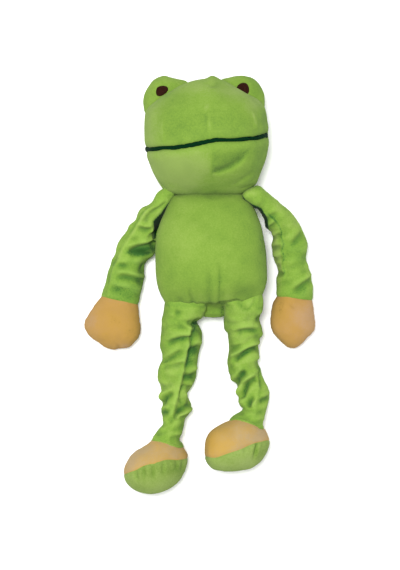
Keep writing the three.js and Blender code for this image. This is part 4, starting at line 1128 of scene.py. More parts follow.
# lines of folds: points, depth, width, raised share, fade at the ends, lean (steep side above the line: 1)
FOLDS = {
    "right_arm": [
        ([[161, 242.6], [153, 245], [145, 246.6], [136, 248.4], [128, 252]], 4.8, 2.8, 0.5, (0.0, 0.15), 1),
        ([[152, 255.4], [145, 255], [138, 254.4], [130, 254.8]], 2.2, 1.7, 0.3, (0.1, 0.2), 0),
        ([[152.5, 230], [145, 229.2], [137, 227.2]], 2.6, 1.8, 0.6, (0.1, 0.3), 1),
        ([[158.5, 231.5], [153, 234.6], [146.5, 239]], 2.6, 1.7, 0.5, (0.0, 0.3), 1),
        ([[129, 266.4], [122.5, 264.6], [116.5, 264]], 2.3, 1.9, 0.8, (0.4, 0.4), 1),
        ([[146, 281], [138.5, 279.6], [131, 277], [123, 275.6], [115, 277.6]], 3.6, 2.2, 0.55, (0.0, 0.25), 1),
        ([[133, 291.5], [121, 289], [108, 286.5]], 1.7, 1.9, 0.5, (0.3, 0.1), 1),
        ([[147.5, 262], [142, 268.5], [139.5, 274]], 2.6, 2.6, 0.3, (0.0, 0.4), 0),
        ([[168, 202], [158.5, 208], [151, 213], [146, 219.5], [143, 226]], 1.7, 1.8, 0.5, (0.1, 0.2), 1),
        ([[158.5, 212.5], [154, 217.5], [150, 221]], 1.2, 2.0, 0.5, (0.2, 0.3), 0),
        ([[141, 236.5], [135, 240], [128, 243]], 1.0, 2.4, 0.4, (0.3, 0.3), 1),
        ([[119, 258], [114, 262], [110, 264]], 1.1, 1.8, 0.5, (0.2, 0.1), 0),
        ([[142, 296], [130, 296], [118, 294]], 0.8, 2.2, 0.5, (0.2, 0.3), 1),
    ],
    "left_arm": [
        ([[303, 231], [297, 239.5], [290.5, 246.5]], 2.2, 2.8, 0.5, (0.15, 0.3), 1),
        ([[314, 277], [306, 282.5], [299, 287.5], [292, 291.5]], 3.2, 2.0, 0.55, (0.0, 0.25), 1),
        ([[280, 282.5], [287, 282.4], [296, 281]], 1.0, 2.0, 0.5, (0.0, 0.4), 1),
        ([[270.5, 237.5], [276, 236.5], [281, 233.6]], 2.2, 1.5, 0.6, (0.0, 0.15), 1),
        ([[272, 257.5], [277, 258.4], [283, 256]], 2.2, 1.5, 0.6, (0.0, 0.15), 1),
        ([[267, 229], [272, 226], [277, 221.5]], 2.0, 1.5, 0.6, (0.0, 0.15), 1),
        ([[276, 272], [280.5, 272.4], [285, 273.5]], 2.0, 1.5, 0.6, (0.0, 0.15), 1),
        ([[271, 248], [276, 247], [282, 246]], 1.9, 1.5, 0.5, (0.0, 0.2), 1),
        ([[277, 265], [281, 264], [284, 262]], 2.0, 1.4, 0.5, (0.0, 0.2), 1),
        ([[288, 268], [296, 264], [306, 262]], 1.1, 2.6, 0.4, (0.3, 0.2), 1),
        ([[256, 207], [262, 204], [268, 199]], 0.9, 2.4, 0.4, (0.1, 0.3), 1),
        ([[266, 218], [272, 216], [278, 213]], 1.4, 1.8, 0.5, (0.0, 0.3), 1),
        ([[309, 254], [304, 256], [299, 257]], 1.0, 2.2, 0.4, (0.0, 0.4), 1),
        ([[311, 268], [305, 270.5], [299, 272]], 0.9, 2.2, 0.4, (0.0, 0.4), 1),
    ],
    "right_leg": [
        ([[166, 344], [173, 341.2], [180, 338.6], [190.5, 337.4]], 2.8, 2.0, 0.5, (0.25, 0.0), 1),
        ([[163, 361.5], [170, 357.8], [177, 353.5], [184, 349.5]], 1.8, 1.9, 0.7, (0.05, 0.2), 1),
        ([[163, 366], [172, 365.7], [180, 363.8], [187, 361.6]], 1.9, 1.7, 0.5, (0.05, 0.1), 1),
        ([[163, 376], [172, 377.4], [181, 378]], 1.0, 2.2, 0.5, (0.3, 0.2), 1),
        ([[163.4, 402.5], [165.4, 398], [168.6, 395], [175, 392.6]], 3.4, 2.0, 0.6, (0.0, 0.2), 1),
        ([[160, 412.5], [165, 411.4], [171, 411.4]], 3.2, 2.2, 0.6, (0.0, 0.3), 1),
        ([[177, 412.4], [181.4, 410.6], [186.5, 407.4], [193, 403]], 3.6, 1.7, 1.0, (0.05, 0.0), -1),
        ([[169, 422], [173, 418.6], [176, 414.8]], 1.4, 1.5, 0.55, (0.3, 0.2), 0),
        ([[178.4, 309.5], [178.8, 316.5]], 1.7, 2.2, 0.4, (0.3, 0.3), 0),
        ([[198, 321.2], [195.4, 322.2], [191.6, 323.2], [186, 323.4]], 3.2, 1.8, 0.3, (0.0, 0.35), 0),
        ([[200, 330.5], [196, 333], [192.5, 335]], 1.8, 2.6, 0.4, (0.0, 0.1), 1),
        ([[200, 347.8], [195, 349.6], [189, 351.6]], 3.0, 3.0, 0.5, (0.0, 0.05), 1),
        ([[196, 362], [192, 362], [187.5, 360]], 1.2, 2.4, 0.5, (0.0, 0.1), 1),
        ([[196.5, 375], [191, 377], [184, 377.5]], 3.2, 3.0, 0.5, (0.0, 0.05), 1),
        ([[193, 388], [187, 387.4], [181.6, 387.4]], 2.2, 1.9, 0.5, (0.0, 0.15), 1),
        ([[189.5, 398], [184.5, 399], [179, 401.5]], 1.7, 1.9, 0.5, (0.0, 0.2), 1),
        ([[159, 432], [164, 432], [169, 431]], 1.5, 2.0, 0.5, (0.0, 0.35), 1),
        ([[178, 323], [184, 328], [190, 331]], 1.1, 2.4, 0.5, (0.3, 0.3), 1),
        ([[161, 384], [167, 386], [174, 385]], 1.3, 2.0, 0.5, (0.0, 0.3), 1),
        ([[184, 424], [178, 427], [172, 427.5]], 1.2, 2.0, 0.5, (0.0, 0.3), 1),
        ([[181, 438], [175, 437], [169, 438]], 1.2, 2.0, 0.5, (0.0, 0.3), 1),
    ],
    "left_leg": [
        ([[240.6, 299], [242, 305.5], [245.6, 309.2], [249.5, 308.4], [253, 304.2], [256.4, 298]], 1.5, 1.3, 0.15, (0.05, 0.05), 0),
        ([[234, 333.6], [239, 332], [244, 330.4], [252, 330], [260, 331]], 2.8, 2.2, 0.5, (0.25, 0.15), 1),
        ([[233, 360], [240, 356.2], [246, 352], [252, 348.7], [260, 345.6]], 4.2, 2.1, 0.6, (0.12, 0.0), 1),
        ([[229, 347], [237, 347], [245, 344]], 1.3, 2.0, 0.5, (0.1, 0.4), 1),
        ([[229, 367], [238, 366], [249, 361]], 1.2, 2.4, 0.5, (0.1, 0.3), 1),
        ([[237.5, 380], [241, 376], [246.5, 370]], 3.6, 2.2, 0.55, (0.0, 0.25), 1),
        ([[242, 397.5], [244, 391.4], [246.4, 385], [250.4, 380.8], [258, 376.6]], 4.4, 2.1, 0.6, (0.05, 0.1), 1),
        ([[249.6, 407], [250.6, 402.4], [253, 399.4], [256.6, 397.4]], 3.0, 1.6, 1.0, (0.1, 0.25), -1),
        ([[246.5, 398], [252, 391.6], [260, 387.4]], 1.2, 2.2, 0.5, (0.2, 0.3), 1),
        ([[272, 395.6], [266, 398.4], [260, 401]], 3.2, 1.9, 0.5, (0.0, 0.1), 1),
        ([[258.6, 362], [260.2, 370], [261, 380], [259.6, 390]], 2.4, 1.6, 0.5, (0.0, 0.3), 0),
        ([[268, 408], [262, 411], [256, 412.5]], 1.5, 2.0, 0.5, (0.0, 0.3), 1),
        ([[240, 304], [246, 313], [250, 322]], 0.9, 2.4, 0.5, (0.2, 0.4), 0),
        ([[264, 315.5], [259, 318.6], [255, 319.6]], 2.4, 2.4, 0.4, (0.0, 0.4), 1),
        ([[239, 412.5], [246, 415.5], [254, 418.5]], 1.1, 2.0, 0.5, (0.3, 0.3), 1),
        ([[262, 421], [256, 422], [250, 421]], 1.1, 2.0, 0.5, (0.0, 0.3), 1),
        ([[258, 337], [252, 339], [246, 338]], 1.0, 2.2, 0.5, (0.0, 0.3), 1),
        ([[226, 320], [233, 322], [240, 321]], 0.8, 2.4, 0.5, (0.1, 0.4), 1),
    ],
}
# where a panel's gathered edge stands over the strip beside it: points, height, drop beside it, reach of each, high side
STEPS = {
    "right_arm": [([[152, 205.5], [144.5, 212.5], [139, 221], [134, 229.6], [128.6, 237.4], [123.6, 245], [119.6, 253], [116.6, 260], [113, 268], [110.4, 280], [107, 296]], 0.9, 1.3, 2.6, 4.0, -1)],
    "left_arm": [([[262, 209.6], [270, 215.6], [277.4, 222], [282.4, 231], [282.2, 237], [284.6, 243.6], [283, 250], [285.4, 257], [283.6, 264], [285.6, 271], [284.4, 280]], 0.8, 0.9, 2.6, 4.0, 1)],
    "right_leg": [([[196.5, 319.5], [192.4, 327], [191, 335], [190, 345], [188, 355], [185.6, 365], [184, 375], [182, 383.6], [180, 392], [178, 400], [176, 408], [174, 420]], 1.9, 3.4, 3.2, 9.0, 1)],
    "left_leg": [([[258.6, 362], [260.6, 371], [260.8, 381], [259.6, 391], [258, 400], [257, 412]], 0.6, 1.5, 2.6, 5.0, 1)],
}
# pile lie on the sleeves with painted light and shade: mostly painted shade in and under the folds and on sides turned
# from the light, with paler strips and crests
NAP_SHADING_BLOBS = {
    "right_arm": [(150, 208, 12, 8, 0.1), (133, 244, 9, 6, 0.1), (141, 250.6, 13.5, 3.8, -1.35), (124, 268, 10, 5, -0.2), (132, 291, 13, 9, -1.2), (141, 272, 5, 12, -1.0), (116, 282, 8, 16, -0.4), (120, 252, 3.4, 14, 0.2), (128, 234, 4, 10, 0.3), (138, 262, 14, 6, -0.35), (148, 229, 6, 2.4, -0.6), (122, 264.6, 6, 2.2, -0.7), (130, 277.6, 12, 2.2, -0.6), (118, 288, 10, 2.2, -0.2)],
    "left_arm": [(252, 193, 8, 5, 0.7), (275, 207, 16, 9, 0.5), (297, 219, 6, 16, 0.5), (298, 252, 9, 10, -0.45), (304, 287, 9, 6, -0.6), (298, 272, 10, 6, -0.1), (295, 292, 16, 6, -0.7), (300, 262, 8, 10, -0.25), (277, 256, 4, 30, 0.9), (267, 222, 3, 9, -0.5), (275, 216, 4, 3, -0.4), (309, 268, 4, 14, 0.5), (286, 291, 8, 5, 0.3)],
    "right_leg": [(196, 328, 4, 7, -1.1), (194, 350, 6, 4.6, -1.2), (189, 360, 4, 7, -0.8), (190, 377, 7, 4.6, -1.3), (194, 364, 5, 22, -0.35), (182, 338.6, 9, 2.4, -0.8), (172, 368, 12, 8, 0.35), (172, 354, 9, 5, -0.1), (170, 385, 9, 7, 0.7), (168, 397, 4, 5, -0.7), (166, 411.6, 4, 3, -0.8), (183, 409, 7, 2.4, -0.7), (178.6, 313, 2.6, 4, -0.6), (184, 322, 8, 4, -0.35), (196, 313, 7, 6, 0.2), (180, 304.8, 22, 1.8, -0.5), (187, 414, 5, 6, 0.5), (181, 430, 3, 12, -0.5), (165, 438, 8, 4, -0.2)],
    "left_leg": [(233, 318, 6, 14, 0.35), (250, 320, 10, 7, 0.35), (258, 318, 3.6, 4, -0.7), (251, 330, 11, 2.6, -0.9), (247, 352, 12, 2.2, -0.8), (243, 374, 4.4, 4, -0.9), (246.4, 386, 3.4, 9, -0.8), (252, 365, 8, 7, 0.45), (260.6, 368, 2.4, 7, -0.9), (265, 398.6, 5, 2.2, -0.8), (264, 408, 5, 7, 0.4), (251.6, 402, 2.4, 4, -0.8), (247.5, 304.4, 3.6, 3.4, -0.25), (233, 306, 6, 5, 0.2), (245, 344, 9, 5, 0.2), (264, 386, 3.4, 8, 0.35)],
}
# lines of painted shade and painted highlight along seams and folds, where the pile is also pressed or parted: points,
# reach, amount
PILE_SHADING_LINES = {
    "right_arm": [([[152.5, 206], [146, 212], [141, 220], [136.5, 228], [131, 236.4], [126, 244.6], [122, 252], [119.6, 260], [115.4, 270]], 1.1, 0.55), ([[150.2, 206], [143.6, 211.6], [138.6, 219.6], [133.6, 228], [128, 236.2]], 0.8, -0.7), ([[156.6, 222], [155.6, 231], [155.8, 243]], 1.7, -2.8)],
    "left_arm": [([[263, 209.4], [270.6, 215.6], [277, 222], [281.6, 230.6], [281.6, 237], [283.8, 243.6], [282.2, 250], [284.4, 257], [282.8, 264], [284.6, 271], [284, 280]], 1.1, -1.5), ([[269, 229], [273, 238], [273.6, 246], [275.8, 254], [278.4, 262], [280, 271]], 3.2, 2.5), ([[303, 230], [297, 239], [290, 247]], 1.8, -0.5)],
    "right_leg": [([[196, 322], [194.4, 329], [192.6, 333], [191.6, 340], [190.6, 348], [188, 359], [185, 374]], 1.0, -0.8), ([[197.6, 321.6], [195.2, 322.4], [192, 323.4]], 1.6, -2.4), ([[190, 408], [182, 413.4], [174, 420]], 1.8, 0.8), ([[164, 373], [174, 370], [183, 364]], 3.0, 0.45), ([[164, 352], [172, 349], [182, 345]], 3.0, 0.3), ([[164, 362.4], [171, 358.6], [178, 354.4]], 1.1, -0.7), ([[168, 341], [176, 338.4], [190, 337]], 1.0, -0.5)],
    "left_leg": [([[241, 302], [242.4, 306.4], [246, 309.4], [250, 307.6], [254, 302]], 0.9, -0.8), ([[258.4, 358], [260, 368], [260.4, 380], [260, 392], [258.6, 402]], 0.9, -0.5), ([[224.8, 300], [224.4, 308], [224.6, 316]], 1.4, 0.6), ([[257, 405], [255, 401], [257.6, 399.4]], 1.6, 0.8), ([[234, 367], [243, 361.4], [252, 354.4], [258, 349.4]], 2.8, 0.9), ([[236, 359], [243, 355], [250, 350.4], [257, 347]], 1.0, -0.7), ([[246, 397], [250, 391.4], [256, 387]], 1.6, 0.6), ([[243.6, 394], [246, 387], [250, 381.6], [257, 377.4]], 1.0, -0.6), ([[243, 392], [240.6, 388], [243, 382]], 1.6, 0.4), ([[238, 379.4], [241, 376], [246, 371]], 1.0, -0.6), ([[240, 342], [248, 339], [257, 336]], 2.4, 0.4)],
}
JOINT = {j["name"]: np.array(j["pos_m"]) * 1000 for j in frame["joints"]}


def nearest_s(sk, p):
    ss = np.linspace(0, sk.L, 600)
    q = np.array([sk.line(s) for s in ss])
    return float(ss[np.argmin(np.linalg.norm(q - p, axis=1))])


def fold_skin(key, sk, seed, crumple=0.9):
    """Presses the listed folds into a sleeve, lets the cloth settle between them and reads where they are."""
    base = sk.P.copy()
    sk.push(0.6 * noise(sk.P, 15, seed), False)
    UV, nz = grid_of(sk.P), sk.normals()[..., 2]
    d = ruche(sk, seed + 20, 1.4, 13.5, 0.06)
    # small crumples wherever the elastic draws the fabric up: broad and soft, mostly across the limb
    a_ = sk.line(0.75 * sk.L) - sk.line(0.25 * sk.L)
    a_ = a_ / np.linalg.norm(a_)
    Q = sk.P + (sk.P @ a_)[..., None] * a_ * 1.1
    cr = np.abs(noise(Q, 11, seed + 40)) + 0.5 * np.abs(noise(Q, 5.5, seed + 41))
    d += crumple * (cr - 0.45) * smooth(-0.2, 0.3, nz) * smooth(3, 14, sk.S[:, None]) * smooth(5, 12, sk.L - sk.S[:, None])
    held = np.zeros(nz.shape, bool)
    leg_ = key.endswith("leg")
    for pts_, dep, wid, up, ends, lean in FOLDS[key]:
        d += crease(UV, nz, pts_, dep * (1.4 if leg_ else 1.15), wid * 1.45, up * 0.62, ends, (-0.15, 0.4), lean)
        q, t, _, _ = to_line(UV, bend_line(pts_, 4))
        held |= (q * PX < 0.8) & (nz > 0.15) & (t > 0.12) & (t < 0.88) & (dep > 1.6)
    for pts_, up, down, wu, wd, hi in STEPS[key]:
        d += ridge_step(UV, nz, pts_, up, down, wu, wd, hi, (0.04, 0.04), (-0.2, 0.15))
        d += seam_pucker(UV, nz, sk.P, pts_, 0.45, 1.6, 6.4, seed, 4.0, (0.0, 0.4))
        q, t, _, _ = to_line(UV, bend_line(pts_, 4))
        held |= (q * PX < 0.7) & (nz > 0)
    sk.push(d)
    if key == "right_arm":
        sk.P[..., 2] -= 9.0 * inside(grid_of(sk.P), GAP, 1.3) * smooth(0.0, 0.35, nz)
    # a second gathered seam down the back of the sleeve
    back = np.abs(((sk.phi - 1.5 * np.pi + np.pi) % (2 * np.pi)) - np.pi) < 0.05
    held[:, back] = True
    held[-4:] = True
    held[:4] = True
    a = sk.line(0.15 * sk.L) - sk.line(0.85 * sk.L)
    puff(sk, held, axis=a, along=1.24, across=1.05, pressure=3.4, frames=17, bend=0.3, cap=3.0)
    sk.relax(3, 0.5)
    sk.rest_on()
    sk.fold = hollow(sk, base)
    return base


def limb_nap_shading(key, sk, seed):
    UV = grid_of(sk.P)
    nap = nap_shading_at(UV, sk.P, NAP_SHADING_BLOBS[key], seed, 0.28)
    for pts_, wid, amount in PILE_SHADING_LINES[key]:
        nap = nap + pile_shading_line(UV, pts_, wid, amount, (0.15, 0.15))
    up = sk.normals()[..., 2]
    # painted shade is weakened where the sleeve faces down
    nap = np.where(nap < 0, nap * (0.3 + 0.7 * smooth(-0.2, 0.15, up)), nap)
    # painted near-black shadow in the gap between the right arm and the body on faces turned up, and painted shadow
    # under the arm's big fold
    if key == "right_arm":
        nap = nap - 4.5 * inside(UV, GAP, 0.8) * smooth(-0.12, 0.08, up) - 1.0 * inside(UV, UNDER, 1.6)
    # painted shade on the side of the left arm next to the body
    if key == "left_arm":
        nap = nap - 3.6 * inside(UV, SHADE, 1.1) * smooth(0.96, 0.7, up) * smooth(-0.12, 0.08, up)
    return nap.reshape(-1)


def split_sleeve(side, kind, sk, joints, spans, chain, names, nodes, nap):
    """Cuts a sleeve into pieces, each holding one joint."""
    V, F, fold = grid_mesh(sk)
    N = vertex_normals(V, F)
    n = sk.P.shape[1]
    mids = (sk.S[:-1] + sk.S[1:]) / 2
    s_of = mids[np.clip(np.arange(len(F)) // n, 0, len(mids) - 1)]
    S1, S2, E, W = joints
    cuts = [-9, (S1 + S2) / 2, (S2 + E) / 2, (E + W) / 2, sk.L + 9]
    for k, (a, b) in enumerate(chain):
        ob = emit(f"{side}_{names[k]}_cover", V, F, "limb", N, fold, (s_of >= cuts[k]) & (s_of < cuts[k + 1]), nap)
        s0, s1 = spans[k]
        tuple(sk.line(max(s0, 0)) / 1000)
        tuple(sk.line(min(s1, sk.L)) / 1000)
        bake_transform(ob)
        if nodes[k]:
            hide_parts(nodes[k])
    # the filling: two lengths inside
    s = Skin(sk.P.copy(), sk.closed)
    s.relax(5, 0.8)
    s.P = s.P - s.normals() * (4.6 if kind == "arm" else 3.4)
    n0 = sk.normals()
    s.P[..., 2] -= 3.5 * inside(grid_of(s.P), GAP, 4.0) * smooth(0.0, 0.35, n0[..., 2])
    s.P = s.P - n0 * np.maximum(np.sum((s.P - sk.P) * n0, -1) + 2.2, 0)[..., None]
    if kind == "arm" and side == "right":
        # where the sleeve is tucked in beside the body, the filling is thinner and keeps to the outer side
        C = s.P.mean(1)
        v_ = grid_of(C)[..., 1]
        w_ = (smooth(176, 190, v_) * smooth(254, 240, v_))[:, None, None]
        s.P = C[:, None] + (s.P - C[:, None]) * (1 - 0.42 * w_) + w_ * np.array([-1.8, 0.9, -1.0])
    s.P[..., 2] = np.maximum(s.P[..., 2], 2.2)
    rows = np.arange(0, len(sk.S), 2)
    meet = max(E - 12, S2 + 6)
    for part, (lo, hi), (a, b), (s0, s1) in (
        (("upper_arm" if kind == "arm" else "thigh"), (cuts[1] + 0.5, meet), chain[1], spans[1]),
        (("forearm" if kind == "arm" else "shin"), (meet + 0.2, W - 9), chain[2], spans[2]),
    ):
        pick = [i for i in rows if lo <= sk.S[i] <= hi]
        P = s.P[pick][:, ::3]
        ends = [P[0].mean(0) + (P[0] - P[0].mean(0)) * f for f in (0.02, 0.7)]
        tail = [P[-1].mean(0) + (P[-1] - P[-1].mean(0)) * f for f in (0.7, 0.02)]
        q = Skin(np.concatenate([np.array(ends), P, np.array(tail)], 0))
        fv, ff, _ = grid_mesh(q)
        ob = emit(f"{side}_{part}_stuffing", fv, ff, "filling", None, None)
        tuple(sk.line(max(s0, 0)) / 1000)
        tuple(sk.line(min(s1, sk.L)) / 1000)
        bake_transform(ob)
        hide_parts(f"{side}_{part}_filling")
        # the elastic tape lies along the gathered seam, in the edge of the filling
        C = s.P.mean(1)
        T = np.gradient(C, axis=0)
        T[:, 2] = 0
        T /= np.linalg.norm(T, axis=1, keepdims=True)
        out = np.stack([-T[:, 1], T[:, 0], 0 * T[:, 0]], -1)
        old = np.array(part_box(f"{side}_{part}_elastic")).mean(0) * 1000
        near = int(np.argmin(np.linalg.norm(C - old, axis=1)))
        if (old - C[near]) @ out[near] < 0:
            out = -out
        lo_, hi_ = (max(lo, s1 + 2), hi - 1) if part in ("upper_arm", "thigh") else (lo + 1, hi - 2)
        line_ = []
        for i in range(len(sk.S)):
            if lo_ <= sk.S[i] <= hi_:
                j = int(np.argmax((s.P[i] - C[i]) @ out[i]))
                line_.append([s.P[i, j] - 1.6 * out[i], out[i]])
        line_ = np.array(line_)
        for _ in range(12):
            line_[1:-1] = (line_[2:] + line_[:-2] + 2 * line_[1:-1]) / 4
        fade = np.clip(np.minimum(np.arange(len(line_)), np.arange(len(line_))[::-1]) / 1.5 + 0.15, 0, 1)
        tape = tube_along(line_[:, 0], line_[:, 1], 2.4 * fade, 0.5 * fade, 12)
        tv, tf, _ = grid_mesh(tape)
        ob = emit(f"{side}_{part}_tape", tv, tf, "elastic", None, None)
        tuple(sk.line(max(s0, 0)) / 1000)
        tuple(sk.line(min(s1, sk.L)) / 1000)
        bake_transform(ob)
        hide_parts(f"{side}_{part}_elastic")


SLEEVES = {}
for side in ("right", "left"):
    sk = loft(ARM[side], 2.15, 96, 1.2, 1.0, 2.5)
    fold_skin(side + "_arm", sk, 31 if side == "right" else 41, 0.7)
    if side == "right":
        room(sk, (-36.8, 40.8, 26.3), (8, 11, 8), 2.9)
    S1, S2, E, W = (nearest_s(sk, JOINT[f"{side}_{j}"]) for j in ("shoulder_raise", "shoulder_swing", "elbow", "wrist"))
    print("arm", side, [round(x, 1) for x in (S1, S2, E, W, sk.L)])
    split_sleeve(side, "arm", sk, (S1, S2, E, W), [(S1 - 4.5, S1 + 4.0), (S2 - 4.5, S2 + 6), (E - 11, E + 11), (W - 8, W + 2)],
                 [("torso", side + "_shoulder"), (side + "_shoulder", side + "_upper_arm"), (side + "_upper_arm", side + "_forearm"), (side + "_forearm", side + "_hand")],
                 ["shoulder", "upper_arm", "elbow", "forearm"], [f"{side}_shoulder_sleeve", f"{side}_upper_arm_sleeve", f"{side}_forearm_sleeve", None],
                 limb_nap_shading(side + "_arm", sk, 231))
    SLEEVES[side + "_arm"] = sk

# ------------------------------------------------------------------ hands
HANDS = {
    "right": dict(
        rows=[[108.4, 293.4, 133.8, 298.2, 13.4, 7.4, 7.6], [103.6, 295.4, 137.2, 302, 13.4, 11.8, 12], [100.9, 298, 138.5, 305.4, 13.5, 12.5, 12.8], [97.4, 301.4, 138.9, 308.6, 13.8, 13.1, 13.4], [92.6, 307.4, 139.6, 314, 14.4, 14, 14.2], [88.4, 314.4, 140.4, 320, 14.8, 14.8, 14.7], [85.2, 321.2, 141.2, 325.6, 15, 15, 14.9],
              [84.6, 326, 141, 331, 15, 14.9, 14.9], [87.2, 331.6, 139.2, 336.4, 15, 14.2, 14.5], [91.8, 336.6, 135.8, 341, 14.6, 12.8, 13.6], [97, 341, 132.2, 344.6, 14, 10.6, 12.4], [102.6, 345.4, 127.6, 347.4, 13.2, 7.6, 10.2], [106.6, 348, 122.8, 348.4, 12.4, 5, 7.6], [110.6, 349.3, 118.4, 349.2, 12, 2.2, 4], [113.6, 349.7, 115.4, 349.7, 11.8, 0.5, 0.8]],
        creases=[([[112, 301], [112.6, 308]], 0.4, 2.0), ([[128, 304], [127, 311]], 0.5, 2.0), ([[119, 349], [118, 343]], 0.9, 1.8), ([[104, 298.5], [103, 304]], 0.6, 1.6), ([[134, 305], [134, 310]], 0.6, 1.6)],
        nap=[(90, 320, 6, 13, 0.6), (116, 322, 14, 16, -0.3), (141, 321, 11, 25, -0.75), (131, 338, 10, 10, -0.45), (106, 341, 12, 7, -0.5), (126, 346, 7, 3, 1.0), (112, 301, 14, 3, 0.5)]),
    "left": dict(
        rows=[[283.4, 291.2, 307.2, 294.4, 13.4, 7.4, 7.6], [279.2, 294, 310.8, 297.8, 13.4, 11.8, 12], [277, 297.2, 312.6, 301.4, 13.5, 12.5, 12.8], [274.6, 301, 313.6, 305.6, 13.8, 13.1, 13.4], [272.2, 307, 314.6, 311.4, 14.4, 13.9, 14.2], [270.7, 313, 315.4, 317, 14.8, 14.5, 14.6], [270.1, 319, 315.6, 322.4, 15, 14.7, 14.8],
              [270.5, 325, 315.0, 328, 15, 14.4, 14.8], [272.6, 331.4, 311.4, 333.4, 15, 13.4, 14.2], [276.8, 337, 306.6, 338.6, 14.6, 11.6, 13], [281.6, 342.4, 301.2, 343.6, 13.8, 8.6, 10.8], [285.2, 345.8, 297, 346.6, 13, 5.6, 7.6], [288, 347.7, 294.2, 347.8, 12.4, 2.6, 4], [290.4, 348.3, 291.8, 348.3, 12.2, 0.5, 0.8]],
        creases=[([[287.5, 298], [291, 304], [299, 314]], 1.3, 2.6), ([[303, 300], [304, 306]], 0.7, 1.6), ([[282, 297.5], [281, 304]], 0.6, 1.6), ([[296, 299.5], [298, 304]], 0.5, 1.4)],
        nap=[(280, 309, 8, 16, -0.9), (290, 300, 8, 5, -0.5), (302, 318, 12, 16, 0.7), (309, 328, 8, 12, 0.6), (288, 333, 8, 8, 0.2), (312, 308, 5, 12, 0.8)]),
}
for side in ("right", "left"):
    h = HANDS[side]
    sk = loft(h["rows"], 2.1, 112, 1.15, 0.0, 0.0, 1.0)
    base_ = sk.P.copy()
    sk.push(0.4 * noise(sk.P, 13, 91 if side == "right" else 93) + 0.18 * noise(sk.P, 5, 95), False)
    UV, nz = grid_of(sk.P), sk.normals()[..., 2]
    d = np.zeros(nz.shape)
    for pts_, dep, wid in h["creases"]:
        d += crease(UV, nz, pts_, dep, wid, 0.3, (0.0, 0.5)) * smooth(7.5, 11, sk.S[:, None])
    # puckers square to the edge seam
    off = np.minimum(np.abs(np.angle(np.exp(1j * sk.phi))), np.abs(np.angle(np.exp(1j * (sk.phi - np.pi)))))[None] * 17
    d += -0.6 * np.exp(-((off / 1.0) ** 2)) * smooth(2, 8, sk.S[:, None]) + 0.2 * np.sin(sk.S[:, None] * 2 * np.pi / 5.4 + 2 * np.sin(sk.S[:, None] * 0.21)) * np.exp(-off / 4.0) * smooth(8, 14, sk.S[:, None])
    sk.push(d)
    held = (off + 0 * nz) < 0.8
    held |= sk.S[:, None] < 8.5
    puff(sk, held, along=1.045, across=1.03, pressure=2.2, frames=12, bend=0.7, cap=1.2)
    sk.rest_on()
    sk.fold = hollow(sk, base_, 18)
    # pile lie on the hand with painted light and shade, such as the painted shade down the right side of the right hand
    nap = nap_shading_at(grid_of(sk.P), sk.P, h["nap"], 241, 0.3).reshape(-1)
    V, F, fold = grid_mesh(sk)
    N = vertex_normals(V, F)
    n = sk.P.shape[1]
    col = np.arange(len(F)) % n
    for name, sel, node in (("_hand_front_cover", col < n // 2, "_hand_front_panel"), ("_hand_back_cover", col >= n // 2, "_hand_back_panel")):
        ob = emit(side + name, V, F, "tan", N, fold, sel, nap)
        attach(ob, side + "_hand")
        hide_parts(side + node)
    stuffing(side + "_hand_stuffing", sk, lambda o, s_=side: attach(o, s_ + "_hand"), side + "_hand_filling", every=(3, 4), inset=3.0)

